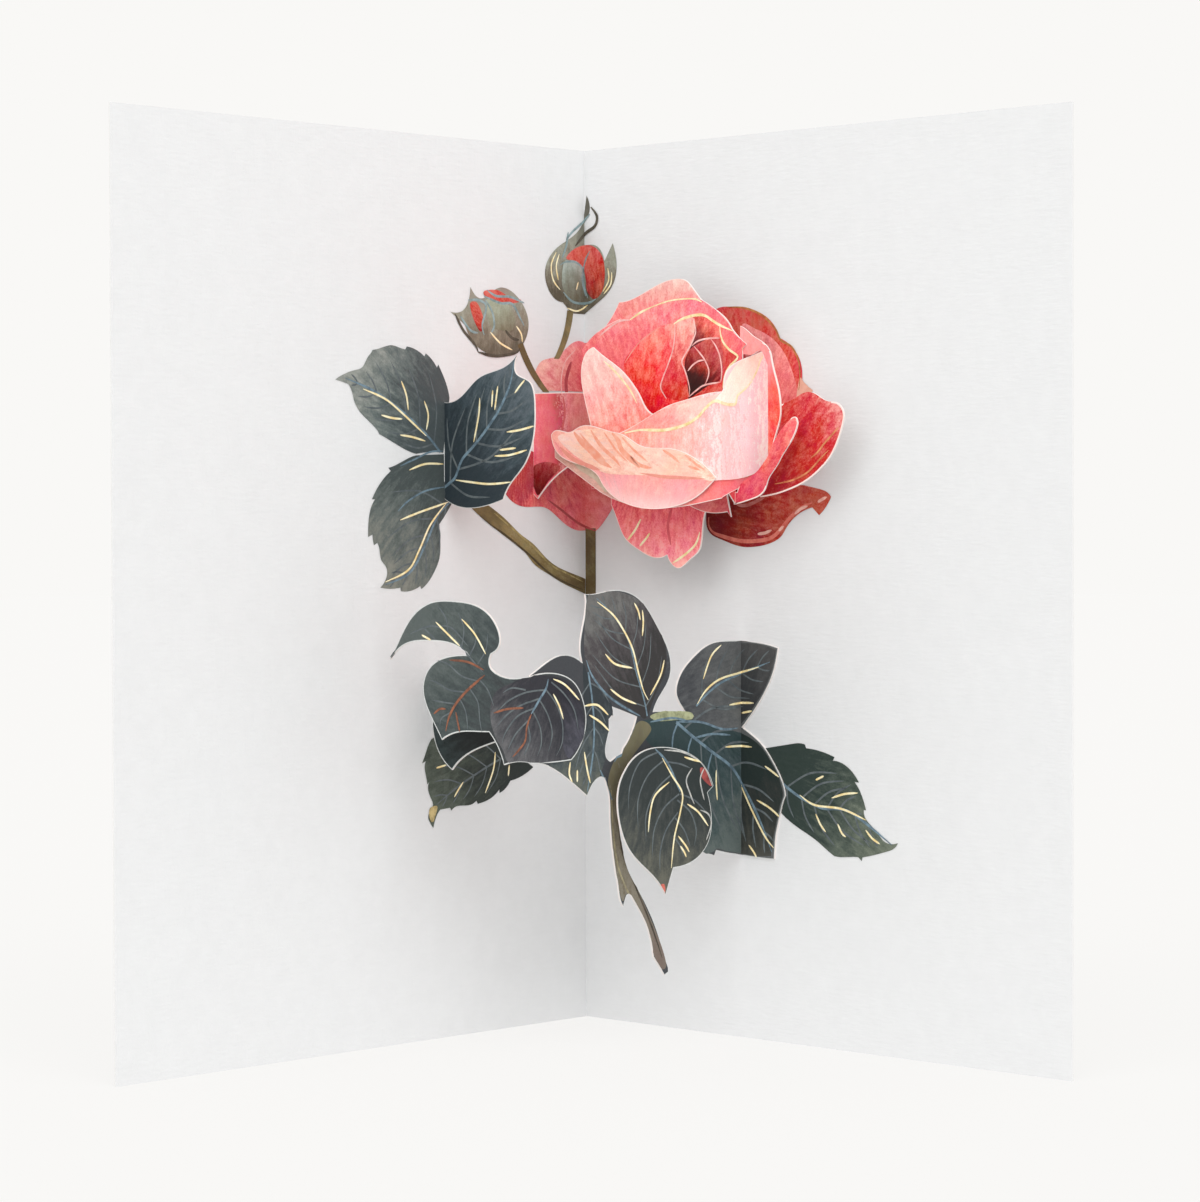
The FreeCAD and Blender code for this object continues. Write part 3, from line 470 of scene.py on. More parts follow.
    def leaf(self, midrib, rib, fine, width, pairs, level=0.05):
        """A midrib through picture points, and pairs of fine side veins that bend to the tip."""
        path = smooth([self.sheet.seen(px, py) for px, py in midrib], closed=False)
        self.stroke(path[::4] + path[-1:], rib, width, level + 0.02, ends=(1.0, 0.25))
        for i in range(1, pairs + 1):
            k = round((i - 0.4) / (pairs + 0.4) * (len(path) - 2))
            start, ahead = Vector(path[k]), (Vector(path[k + 1]) - Vector(path[k])).normalized()
            for side in (-1, 1):
                lean = math.radians(58 - 22 * i / pairs) * side
                way = Vector((ahead.x * math.cos(lean) - ahead.y * math.sin(lean),
                              ahead.x * math.sin(lean) + ahead.y * math.cos(lean)))
                chord = (way + ahead * 0.3).normalized()
                reach = self.room(start, chord) * 0.8
                if 1.0 < reach < 20.0:
                    bend, end = start + way * reach * 0.5, start + chord * reach
                    self.stroke([tuple(start), tuple(bend), tuple(end)], fine, width * 0.7, level,
                                ends=(0.9, 0.1))

    def lay(self, slot, *replaced):
        """Folds the ink with its sheet, and makes it a piece of the card."""
        if self.sheet.fold is not None:
            everything = self.flat.verts[:] + self.flat.edges[:] + self.flat.faces[:]
            bmesh.ops.bisect_plane(self.flat, geom=everything, plane_co=(self.sheet.fold, 0, 0),
                                   plane_no=(1, 0, 0))
        grid = self.flat.loops.layers.uv.new("sheet")
        for face in self.flat.faces:
            face.normal_update()
            if face.normal.z < 0:
                face.normal_flip()
            for corner in face.loops:
                corner[grid].uv = corner.vert.co.xy
        for v in self.flat.verts:
            v.co = self.sheet.place(*v.co)
        mesh = bpy.data.meshes.new(self.name)
        self.flat.to_mesh(mesh)
        for material in self.inks:
            mesh.materials.append(material)
        piece = bpy.data.objects.new(self.name, mesh)
        bpy.context.scene.collection.objects.link(piece)
        film = piece.modifiers.new("film", "SOLIDIFY")
        film.thickness = FILM
        film.offset = -1.0
        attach(piece, "root")
        if replaced:
            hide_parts(*replaced)


def wash(name, sheet, start, end, stops, streak=0.3, fan=0.4, cloud=0.25, mottle=0.3, turned=False,
         border_tone=(250, 226, 218)):
    """Watercolour that changes from start to end, picture points, with streaks that fan out.

    stops are shares of the way and the colours there. streak, cloud and mottle say how far the
    streaks, the wide blooms and the small blotches in the paint push the colour along that way.
    """
    (s0, z0), (s1, z1) = sheet.seen(*start), sheet.seen(*end)
    length = math.hypot(s1 - s0, z1 - z0)
    us, uz = (s1 - s0) / length, (z1 - z0) / length
    finish = Finish(name, roughness=0.62)
    grid = finish.node("ShaderNodeUVMap", {"uv_map": "sheet"})
    apart = finish.node("ShaderNodeSeparateXYZ", {}, grid)
    s, z = apart, Amount(finish, apart.socket.node.outputs[1])
    along = (s - s0) * us + (z - z0) * uz
    across = (z - z0) * us - (s - s0) * uz
    spread = length / fan
    lane = along if turned else across / (along + spread) * (spread + length * 0.5)
    run = across if turned else along
    track = finish.node("ShaderNodeCombineXYZ", {}, lane, run * 0.16, len(name) * 3.7)
    streaks = finish.cloud(track, 1.0, 3.0, 0.6)
    drift = finish.node("ShaderNodeCombineXYZ", {}, lane * 0.62, run * 0.3, len(name) * 1.3)
    blotches = finish.cloud(drift, 1.6, 5.0, 0.72)
    blooms = finish.cloud(grid, 0.17, 3.0, 0.6)
    grain = finish.cloud(grid, 2.6, 4.0, 0.75)
    way = (along / length + (streaks - 0.5) * streak * 1.8 + (blooms - 0.5) * cloud * 2.0
           + (blotches - 0.5) * mottle * 2.0 + (grain - 0.5) * 0.3)
    ramp = [(share, linear(rgb)) for share, rgb in stops]
    colour = finish.node("ShaderNodeValToRGB", {"stops": ramp}, way)
    depth = 1.07 + (streaks - 0.5) * 0.25 + (blotches - 0.5) * 0.45 + (grain - 0.5) * 0.5
    hue = 0.5 + (blooms - 0.5) * 0.045 + (blotches - 0.5) * 0.03
    strength = 1.0 - (blotches - 0.5) * 0.5 - (grain - 0.5) * 0.4
    painted = finish.node("ShaderNodeHueSaturation", {}, Hue=hue, Saturation=strength, Value=depth,
                          Color=colour)
    rim = finish.node("ShaderNodeAttribute", {"attribute_name": "rim"}, output=2)
    mask = finish.node("ShaderNodeMapRange", {}, rim + (grain - 0.5) * 0.5, 0.42, 0.62, 0.0, 1.0)
    inked = finish.node("ShaderNodeMix", {"data_type": "RGBA"}, output=2,
                        mix=(mask, (*linear(border_tone), 1), painted))
    finish.shade("Base Color", inked)
    finish.relief(grain, 0.00004, 0.35)
    return finish.material


def brush(name, rgb, deep, roughness=0.6, metallic=0.0):
    """Ink for a line, rgb where it is thin and deep where it pooled."""
    finish = Finish(name, roughness=roughness, metallic=metallic)
    grid = finish.node("ShaderNodeUVMap", {"uv_map": "sheet"})
    patches = finish.cloud(grid, 0.55, 3.0, 0.65)
    ramp = [(0.36, linear(deep)), (0.6, linear(rgb))]
    colour = finish.node("ShaderNodeValToRGB", {"stops": ramp}, patches)
    finish.shade("Base Color", colour)
    return finish.material


gilt = brush("gilt_line", (255, 246, 208), (240, 214, 150), 0.45, 0.1)
lining = Sheet(p=0.0501, q=0.0501, valley=True)



def leaf_wash(name, sheet, stem_end, tip, dark, mid, pale):
    """The blue-green of a leaf, streaked from its stem to its tip."""
    stops = [(0.0, dark), (0.3, dark), (0.62, mid), (1.0, pale)]
    return wash(name, sheet, stem_end, tip, stops, streak=0.4, fan=1.4, cloud=0.28, mottle=0.36,
                border_tone=(208, 211, 209))


vein = brush("pale_vein", (118, 142, 156), (84, 102, 114))
fine_vein = brush("fine_vein", (102, 110, 112), (80, 88, 92))

leaves = Print("printed_leaves_ink", lining, trimmed=False)
high_leaf = leaf_wash("high_leaf", lining, (440, 440), (345, 378), (70, 78, 80), (100, 109, 107),
                      (138, 142, 136))
leaves.cover("printed_leaves", high_leaf, border=0, within=(-75, 0, 115.45, 140))
leaves.leaf([(440, 452), (424, 432), (398, 408), (372, 390), (345, 378)], vein, fine_vein, 0.5, 6)
leaves.gild(0.42, [(363, 389), (385, 399), (404, 415), (426, 436)], [(401, 381), (406, 395), (408, 410)],
            [(381, 415), (392, 418), (402, 419)], [(424, 401), (428, 415), (426, 430)],
            [(400, 435), (412, 437), (425, 441)])
low_leaf = leaf_wash("low_leaf", lining, (448, 462), (385, 588), (68, 76, 76), (94, 102, 99),
                     (122, 124, 116))
leaves.cover("printed_leaves", low_leaf, border=0, within=(-75, -30, 80, 115.45))
leaves.leaf([(450, 502), (438, 515), (425, 545), (410, 572), (385, 585)], vein, fine_vein, 0.5, 7)
leaves.gild(0.42, [(409, 470), (425, 464), (443, 464)], [(400, 520), (420, 512), (437, 506), (448, 502)],
            [(446, 503), (430, 525), (419, 550), (408, 570), (385, 582)])
leaves.lines(vein, 0.35, 0.08, [(443, 451), (430, 452), (415, 459), (400, 466)])
leaves.lines(vein, 0.35, 0.08, [(444, 487), (425, 491), (408, 501), (398, 511)])
# This leaf is painted darker than the other flat leaves: painted shade over its own green.
shaded_leaf = leaf_wash("shaded_leaf", lining, (520, 745), (435, 815), (40, 46, 44), (58, 65, 58),
                        (84, 92, 82))
leaves.cover("printed_leaves", shaded_leaf, border=0, within=(-50, -10, 40, 62))
leaves.leaf([(520, 748), (490, 765), (460, 785), (436, 805)], fine_vein, fine_vein, 0.4, 6)
leaves.gild(0.38, [(495, 752), (493, 770), (485, 793)], [(463, 782), (458, 790), (454, 797)],
            [(436, 768), (446, 765)], [(509, 765), (508, 776)])
gold_tip = brush("gold_tip", (205, 184, 130), (150, 132, 88))
leaves.field([(430, 808), (437, 806), (436, 813), (433, 822), (431, 822), (429, 815)], gold_tip, 0.07)
right_leaf = leaf_wash("right_leaf", lining, (775, 780), (890, 842), (46, 58, 54), (72, 82, 74),
                       (104, 112, 98))
leaves.cover("printed_leaves", right_leaf, border=0, within=(40, 90, 30, 62))
leaves.leaf([(782, 783), (800, 797), (822, 808), (850, 812), (892, 845)], vein, fine_vein, 0.55, 8)
leaves.gild(0.42, [(800, 795), (815, 805), (842, 809), (866, 820)], [(832, 798), (845, 794), (858, 793)],
            [(866, 830), (872, 838), (880, 844)], [(816, 814), (821, 825), (826, 832)],
            [(838, 824), (842, 833), (846, 837)], [(816, 780), (824, 776)])
leaves.lay("print_leaf", "printed_leaves")

# The flat stems: brown paint on the lining, from the leaves to the fold and up to the bloom and the
# buds, with a dark line and a light one along the branch.
stem_ink = wash("stem_ink", lining, (585, 590), (480, 505),
                [(0.0, (96, 82, 54)), (0.4, (124, 108, 70)), (0.7, (140, 124, 84)), (1.0, (100, 86, 58))],
                streak=0.25, fan=0.1, cloud=0.4)
stems = Print("printed_stems_ink", lining, trimmed=False)
stems.cover("printed_stems", stem_ink, border=0)
stem_edge = brush("stem_edge", (82, 70, 46), (60, 50, 34))
stems.lines(stem_edge, 0.45, 0.07, [(480, 516), (491, 525), (505, 535), (527, 553), (547, 571.5),
                                    (561, 580.5), (583, 590)])
stem_light = brush("stem_light", (172, 156, 104), (128, 112, 72))
stems.lines(stem_light, 0.4, 0.07, [(494, 513), (508, 525), (532, 546), (551, 565), (566, 573),
                                    (583, 582)])
stems.lay("print_stem", "printed_stems")

# The two flat buds: grey-green sepals with red petals between them, printed on the lining. Pale
# blue lines edge the sepals, and fine gilt ones lie over them.
sepals = Print("buds_ink", lining, trimmed=False)
low_bud = wash(
    "low_bud", lining, (492, 356), (490, 288), [(0.0, (98, 92, 78)), (0.4, (132, 124, 108)),
                                                (0.75, (150, 152, 138)), (1.0, (140, 128, 118))],
    streak=0.25, fan=0.5, cloud=0.5)
sepals.cover("printed_sepals", low_bud, border=0, within=(-45, -13, 130, 155))
bud_red = wash("bud_red", lining, (595, 300), (585, 250), [(0.0, (140, 44, 38)), (0.5, (190, 72, 58)),
                                                           (1.0, (206, 98, 88))], streak=0.5, fan=0.4,
               cloud=0.4)
bud_blue = brush("sepal_edge", (150, 172, 176), (120, 140, 140))
bud_dark = brush("sepal_shade", (92, 86, 74), (66, 62, 52))
sepals.field([(470, 303), (477, 303), (483, 318), (482, 331), (478, 329), (472, 315)], bud_red, 0.07)
sepals.field([(484, 291), (497, 290), (508, 296), (521, 300), (514, 303), (500, 302), (486, 297)],
             bud_red, 0.07)
bud_green = wash("bud_green", lining, (500, 330), (498, 300),
                 [(0.0, (120, 116, 96)), (1.0, (158, 166, 146))], cloud=0.5)
sepals.field([(486, 300), (498, 303), (508, 305), (515, 318), (512, 330), (500, 330), (490, 325)],
             bud_green, 0.07)
sepals.lines(
    bud_blue, 0.5, 0.08, [(468, 300), (478, 300), (486, 306), (482, 325), (484, 335)],
    [(484, 296), (500, 303), (512, 304), (520, 318), (524, 326)], [(460, 316), (470, 330), (478, 333)],
    [(487, 290), (496, 296), (510, 297), (524, 303)], [(485, 300), (492, 312), (494, 326), (490, 334)])
sepals.gild(0.4, [(490, 332), (500, 343), (512, 350)], [(516, 326), (521, 334), (522, 342)])
sepals.lines(bud_dark, 0.6, 0.075, [(455, 314), (463, 330), (475, 345), (478, 352)],
             [(478, 352), (495, 356), (515, 353), (520, 348)], [(505, 330), (512, 338), (519, 340)])
high_bud = wash("high_bud", lining, (575, 312), (585, 215),
                [(0.0, (86, 80, 66)), (0.3, (118, 112, 98)), (0.6, (150, 152, 138)), (1.0, (92, 90, 80))],
                streak=0.25, fan=0.5, cloud=0.5)
sepals.cover("printed_sepals", high_bud, border=0, within=(-13, 12, 143, 172))
sepals.field([(566, 258), (574, 249), (586, 245), (596, 248), (603, 258), (605, 275), (602, 292),
              (594, 299), (587, 290), (584, 270), (574, 262)], bud_red, 0.07)
bud_inner = wash("bud_inner", lining, (575, 300), (572, 262),
                 [(0.0, (104, 100, 84)), (0.6, (132, 140, 128)), (1.0, (160, 172, 164))], cloud=0.6)
sepals.field([(564, 262), (574, 262), (584, 272), (586, 290), (578, 300), (568, 298), (562, 285)],
             bud_inner, 0.08)
sepals.lines(
    bud_blue, 0.5, 0.09, [(560, 265), (565, 262), (575, 262), (583, 270), (584, 285), (588, 298)],
    [(590, 251), (585, 262), (582, 280), (586, 296)], [(566, 240), (572, 232), (583, 222), (590, 214)],
    [(563, 292), (573, 302), (588, 303), (596, 299)], [(568, 232), (566, 246), (562, 258)])
sepals.gild(0.36, [(556, 252), (551, 265), (553, 280), (560, 290)], [(559, 254), (556, 266), (558, 280)],
            [(567, 308), (577, 311), (588, 305)], [(608, 268), (609, 280), (603, 292)],
            [(578, 282), (576, 290)], [(604, 294), (611, 284), (612, 272)], level=0.095)
sepals.lines(bud_dark, 0.7, 0.085, [(591, 207), (597, 216), (595, 226), (585, 234), (575, 246)])
sepals.lay("print_sepal", "printed_sepals")

white_line = brush("white_line", (250, 206, 200), (238, 164, 160))
# The bloom's flat outer petals: printed on the lining in pinks and deep reds, where they look out
# from behind the raised ones. The lowest one on the right curls up at its edge.
outer = Print("printed_petals_ink", lining, trimmed=False)
back_petal = wash("back_petal", lining, (585, 396), (545, 360),
                  [(0.0, (224, 98, 106)), (0.5, (232, 132, 132)), (1.0, (236, 176, 166))], streak=0.5,
                  fan=0.9)
outer.cover("printed_petals", back_petal, border=0, within=(-20, 12, 125, 142))
outer.lines(white_line, 0.3, 0.07, [(562, 398), (561, 380), (565, 362), (575, 350)])
petal_fold = brush("petal_fold", (176, 70, 78), (190, 84, 90))
outer.lines(petal_fold, 0.9, 0.065, [(567, 398), (566, 380), (571, 362)])
low_petals = wash("low_petals", lining, (545, 462), (575, 530),
                  [(0.0, (178, 66, 70)), (0.3, (216, 98, 102)), (0.7, (228, 116, 116)),
                   (1.0, (232, 130, 130))], streak=0.45, fan=1.2, cloud=0.4)
outer.cover("printed_petals", low_petals, border=0, within=(-30, 12, 98, 119))
petal_edge = brush("petal_edge", (176, 76, 78), (190, 90, 90))
outer.lines(petal_edge, 0.5, 0.065, [(548, 500), (560, 509), (578, 523), (596, 531)])
outer_petal = wash("outer_petal", lining, (760, 400), (775, 308),
                   [(0.0, (196, 64, 62)), (0.45, (208, 76, 68)), (0.75, (210, 92, 78)),
                    (1.0, (182, 66, 52))], streak=0.3, fan=1.0, cloud=0.5)
outer.cover("printed_petals", outer_petal, border=0, within=(36, 64, 118, 150))
outer_pink = wash("outer_pink", lining, (760, 400), (775, 335),
                  [(0.0, (206, 92, 92)), (0.5, (222, 122, 120)), (1.0, (238, 150, 148))], streak=0.4,
                  fan=0.8)
outer.field([(742, 327), (756, 329), (772, 338), (784, 352), (792, 370), (797, 388), (797, 402),
             (770, 402), (752, 380)], outer_pink, 0.07)
peach = brush("peach", (226, 176, 156), (214, 158, 138))
outer.field([(800, 378), (804, 382), (809, 387), (813, 391), (806, 395), (797, 399)], peach, 0.075)
petal_gilt = brush("petal_gilt", (196, 134, 76), (150, 84, 50))
outer.lines(petal_gilt, 0.4, 0.08, [(727, 307), (745, 308), (762, 315), (775, 328), (781, 340),
                                    (792, 347), (799, 362), (800, 378), (799, 390)])
curled_petal = wash("curled_petal", lining, (712, 500), (815, 505),
                    [(0.0, (118, 18, 12)), (0.3, (140, 30, 22)), (0.6, (168, 58, 46)),
                     (1.0, (182, 80, 62))], streak=0.4, fan=0.9, cloud=0.3)
outer.cover("printed_petals", curled_petal, border=0, within=(33, 70, 94, 111))
curl_band = brush("curl_band", (220, 124, 108), (198, 92, 80))
outer.lines(curl_band, 0.8, 0.07, [(709, 517), (709, 525), (713, 532), (722, 536), (742, 541), (764, 540),
                                   (774, 536), (782, 528), (790, 518), (802, 507), (812, 503)],
            ends=(0.3, 0.3))
curl_fold = brush("curl_fold", (206, 130, 124), (184, 92, 84))
outer.lines(curl_fold, 0.7, 0.072, [(733, 501), (740, 505), (748, 505), (757, 501), (765, 497)])
curl_pale = brush("curl_pale", (238, 190, 176), (222, 160, 146))
outer.lines(curl_pale, 0.6, 0.075, [(758, 534), (765, 533), (772, 530)], [(779, 531), (784, 526)],
            [(795, 514), (801, 509), (808, 506)], [(818, 502), (823, 499), (827, 497)], ends=(0.4, 0.2))
outer.lay("print_petal", "printed_petals")
# The upper raised leaf: a die-cut piece with a glue tab on the left panel and a folded bracket
# behind it, printed like the flat leaves and left white along its cut edge.
high_sheet = Sheet(p=41.3007)
high = Print("upper_leaf_ink", high_sheet)
upper_leaf_wash = leaf_wash("upper_leaf_wash", high_sheet, (450, 480), (515, 360), (42, 52, 58),
                            (60, 72, 78), (88, 98, 104))
high.cover("upper_leaf", upper_leaf_wash, border=0.18)
high.leaf([(443, 488), (455, 478), (462, 460), (478, 441), (498, 412), (510, 385), (514, 362)], vein,
          fine_vein, 0.6, 8)
high.gild(
    0.42, [(480, 398), (479, 415), (474, 442)], [(493, 390), (492, 407)], [(498, 386), (495, 410)],
    [(525, 380), (520, 386), (515, 393)], [(507, 432), (520, 430), (534, 426)],
    [(500, 450), (508, 449), (516, 448)], [(495, 456), (510, 455), (527, 450)],
    [(456, 480), (470, 482), (490, 484), (512, 482)])
high.lay("leaf_green")

# The leaf cluster: three leaves cut from one sheet that is folded once, over the outer crease of
# the stem sheet. Rust and blue-grey veins run over a blue-green wash, darker on the middle leaf.
cluster_sheet = Sheet(p=61.8007, q=44.8007)
rust = brush("rust_vein", (152, 96, 70), (106, 68, 54))
cluster = Print("leaf_cluster_ink", cluster_sheet)
cluster_wash = leaf_wash("cluster_wash", cluster_sheet, (560, 740), (425, 640), (52, 55, 57),
                         (60, 69, 69), (82, 90, 88))
cluster.cover("leaf_cluster", cluster_wash, border=0.4)
cluster.lines(fine_vein, 0.35, 0.06, [(483, 672), (468, 655), (450, 634), (432, 626), (410, 634)])
cluster.lines(fine_vein, 0.3, 0.06, [(440, 626), (452, 628), (468, 646)], [(424, 628), (436, 640)],
              [(470, 655), (476, 640), (472, 622)], [(448, 632), (446, 618), (438, 606)],
              [(462, 646), (464, 628), (458, 612)], [(478, 664), (486, 650), (488, 634)], ends=(0.9, 0.1))
cluster.lines(rust, 0.55, 0.08, [(485, 675), (468, 690), (456, 704), (449, 718), (446, 731)])
cluster.lines(
    fine_vein, 0.3, 0.07, [(478, 681), (462, 676), (448, 664), (436, 660)],
    [(466, 692), (450, 690), (436, 682), (428, 680)], [(456, 704), (442, 702), (432, 700)],
    [(452, 712), (442, 718), (440, 726)], [(470, 689), (478, 702), (480, 720), (482, 732)],
    [(460, 699), (466, 712), (468, 730)], [(480, 680), (488, 690), (494, 706)], ends=(0.9, 0.1))
cluster.lines(vein, 0.5, 0.08, [(548, 679), (546, 688), (539, 700), (531, 714)])
cluster.lines(
    fine_vein, 0.32, 0.07, [(545, 690), (528, 692), (510, 700), (497, 712)],
    [(541, 698), (524, 704), (508, 714), (496, 728)], [(534, 708), (518, 716), (506, 732), (502, 744)],
    [(529, 720), (516, 734), (508, 750)], [(546, 690), (556, 704), (562, 722), (562, 742), (556, 756)],
    [(540, 701), (548, 716), (552, 734), (548, 752)], [(533, 712), (540, 728), (541, 744), (537, 756)],
    [(528, 724), (530, 740), (524, 756)], [(551, 682), (564, 694), (574, 710), (578, 730)],
    [(526, 690), (512, 688), (503, 693)], ends=(0.9, 0.1))
cluster_shade = leaf_wash("cluster_shade", cluster_sheet, (552, 680), (576, 752), (34, 34, 42),
                          (48, 48, 56), (72, 72, 82))
cluster.field([(552, 678), (562, 680), (575, 692), (583, 712), (584, 735), (576, 750), (568, 758),
               (562, 742), (562, 722), (556, 704), (546, 690)], cluster_shade, 0.045)
cluster.gild(0.4, [(436, 622), (448, 634), (460, 646)], [(462, 619), (475, 634), (486, 654)],
             [(422, 635), (431, 640)], [(553, 679), (565, 685), (579, 700)],
             [(553, 694), (559, 706), (563, 719)])
middle_leaf = leaf_wash("middle_leaf", cluster_sheet, (548, 678), (506, 762), (44, 44, 50), (66, 66, 70),
                        (92, 92, 94))
cluster.field([(497, 691), (512, 683), (530, 676), (548, 676), (566, 680), (577, 692), (583, 708),
               (583, 728), (577, 748), (570, 758), (548, 762), (520, 764), (508, 762), (503, 750),
               (496, 738), (491, 722), (491, 705)], middle_leaf, 0.04)
cluster.lines(rust, 0.42, 0.085, [(450, 660), (468, 662), (484, 670)],
              [(434, 714), (440, 709), (446, 709)], [(456, 712), (458, 722), (460, 732)],
              [(494, 713), (508, 709), (524, 708)], [(531, 714), (527, 728), (525, 742), (513, 757)])
cluster.lay("leaf_green")

# The leaf in shadow: the lower edge of the bracket that carries the cluster, painted nearly black
# and without veins. The near black is painted shade over the leaf's dark green.
under_sheet = Sheet(p=45.0)
under_leaf = Print("under_leaf_ink", under_sheet)
under_leaf_wash = leaf_wash("under_leaf_wash", under_sheet, (490, 735), (450, 770), (14, 18, 18),
                            (24, 30, 30), (44, 54, 54))
under_leaf.cover("under_leaf_bracket", under_leaf_wash, border=0.4)
under_leaf.lay("leaf_green")

# The stem sheet: the brown stem, its fork and the leaves round it, cut from one sheet. It is folded
# once and glued to the right panel, and past the crease its leaves are painted darker, as painted shade.
stem_sheet = Sheet(p=0.3007, q=44.5, valley=True)
spray = Print("stem_sheet_ink", stem_sheet)
spray_wash = leaf_wash("spray_wash", stem_sheet, (640, 715), (745, 680), (60, 62, 66), (78, 80, 82),
                       (92, 94, 94))
spray.cover("stem_sheet", spray_wash, border=0.28)
centre_leaf = leaf_wash("centre_leaf", stem_sheet, (645, 715), (595, 600), (50, 48, 48), (70, 66, 68),
                        (100, 100, 98))
spray.field([(588, 596), (600, 592), (620, 592), (640, 601), (652, 615), (660, 631), (666, 650),
             (665, 672), (655, 695), (646, 718), (636, 712), (620, 702), (600, 690), (588, 668),
             (584, 650), (585, 620)], centre_leaf, 0.04)
small_leaf = leaf_wash("small_leaf", stem_sheet, (590, 670), (587, 795), (44, 50, 54), (66, 74, 76),
                       (92, 96, 88))
spray.field([(583, 665), (590, 680), (605, 696), (612, 707), (608, 730), (606, 755), (600, 775),
             (594, 790), (586, 796), (574, 785), (560, 776), (548, 768), (570, 740), (583, 710)],
            small_leaf, 0.04)
# Past the crease, on the flap glued to the right panel, the two right leaves are painted darker: painted
# shade.
upper_right_shade = leaf_wash("upper_right_shade", stem_sheet, (740, 720), (775, 652), (52, 54, 56),
                              (64, 65, 66), (76, 76, 76))
spray.field([(741, 643), (741, 643), (752, 643.5), (764, 645.5), (776, 650), (776, 650), (774, 662),
             (770, 676), (763, 692), (755, 705), (747, 717), (741, 724), (741, 724)], upper_right_shade,
            0.04)
lower_right_wash = leaf_wash("lower_right_wash", stem_sheet, (680, 722), (720, 850), (46, 62, 64),
                             (64, 78, 80), (88, 98, 96))
spray.field([(640, 724), (655, 719), (690, 721), (715, 726), (741, 733), (741, 733), (741, 853),
             (741, 853), (728, 851), (717, 848.5), (712, 852), (702, 849), (690, 800), (672, 755),
             (650, 745)], lower_right_wash, 0.042)
lower_right_shade = leaf_wash("lower_right_shade", stem_sheet, (740, 740), (765, 855), (36, 46, 44),
                              (46, 50, 48), (66, 66, 60))
spray.field([(741, 733), (741, 733), (752, 739), (762, 748), (770, 760), (778, 775), (782, 788),
             (783, 796), (780, 806), (777, 820), (774, 835), (772, 848), (771, 856), (771, 856),
             (758, 856), (741, 853.5), (741, 853.5)], lower_right_shade, 0.044)
spray.leaf([(647, 716), (644, 700), (636, 672), (628, 640), (612, 614), (596, 598)], vein, fine_vein,
           0.35, 7)
spray.leaf([(588, 672), (592, 700), (594, 730), (592, 760), (587, 792)], vein, fine_vein, 0.45, 5)
spray.leaf([(696, 706), (708, 693), (722, 682), (742, 673), (770, 662)], vein, fine_vein, 0.45, 5)
spray.leaf([(676, 722), (692, 736), (712, 752), (732, 768), (748, 795), (762, 825), (772, 852)], vein,
           fine_vein, 0.6, 7)
stem_wash = wash("stem_wash", stem_sheet, (645, 722), (662, 972),
                 [(0.0, (110, 106, 82)), (0.3, (98, 92, 74)), (0.6, (122, 116, 102)),
                  (1.0, (110, 96, 88))], streak=0.3, fan=0.05, cloud=0.5)
spray.field(
    [(637, 723), (646, 722), (651, 728), (649, 734), (640, 746), (630, 760), (620, 780), (618, 800),
     (620, 820), (621, 836), (625, 862), (637, 888), (651, 920), (662, 948), (666, 966), (660, 968),
     (652, 950), (643, 921), (632, 900), (626, 894), (622, 901), (615, 870), (612, 840), (610, 800),
     (608, 780), (614, 761), (626, 744)], stem_wash, 0.046)
fork_green = brush("fork_green", (176, 180, 142), (128, 132, 100))
spray.field([(650, 716), (664, 711), (680, 711), (692, 713), (692, 719), (676, 720), (658, 721)],
            fork_green, 0.046)
spray.gild(
    0.42, [(597, 602), (612, 614), (622, 628), (632, 648), (638, 672), (643, 690), (648, 700)],
    [(634, 603), (638, 611), (640, 620)], [(642, 610), (643, 622), (642, 636)],
    [(605, 654), (615, 664), (632, 668)], [(664, 660), (660, 676), (650, 695)],
    [(610, 689), (622, 698), (636, 704)], [(721, 645), (711, 656), (703, 679)],
    [(697, 704), (706, 690), (720, 679), (742, 672), (759, 667)], [(729, 705), (740, 703), (754, 703)],
    [(742, 713), (752, 711)], [(584, 706), (597, 705), (608, 715)], [(589, 715), (600, 722), (609, 731)],
    [(584, 752), (587, 770), (590, 783)], [(570, 762), (569, 774), (572, 782)], [(577, 770), (577, 782)],
    [(725, 747), (738, 746), (752, 747)], [(765, 766), (773, 772), (779, 777)],
    [(757, 800), (770, 808), (781, 818)], [(741, 785), (752, 810), (765, 836), (774, 848)],
    [(716, 770), (716, 785), (717, 800)], [(749, 845), (754, 852), (757, 858)])
spray.lines(
    vein, 0.45, 0.08, [(586, 660), (592, 676), (606, 694), (622, 706), (640, 716)],
    [(650, 722), (672, 718), (690, 722)], [(614, 762), (624, 745), (634, 728)],
    [(676, 722), (700, 722), (722, 729), (738, 728)], [(692, 736), (688, 750), (690, 760)],
    [(712, 752), (708, 768), (709, 784)], [(600, 770), (612, 800)], [(678, 722), (673, 735), (672, 748)],
    [(694, 738), (712, 734), (730, 735)])
bark_light = brush("bark_light", (158, 150, 120), (116, 108, 88))
spray.lines(bark_light, 0.45, 0.07, [(611, 790), (613, 830), (617, 862), (625, 886), (640, 915),
                                     (652, 940)])
bark_dark = brush("bark_dark", (84, 76, 64), (60, 54, 46))
spray.lines(bark_dark, 0.45, 0.07, [(618, 790), (619, 825), (623, 855), (636, 888), (651, 925),
                                    (662, 958)])
spray.lay("leaf_green")

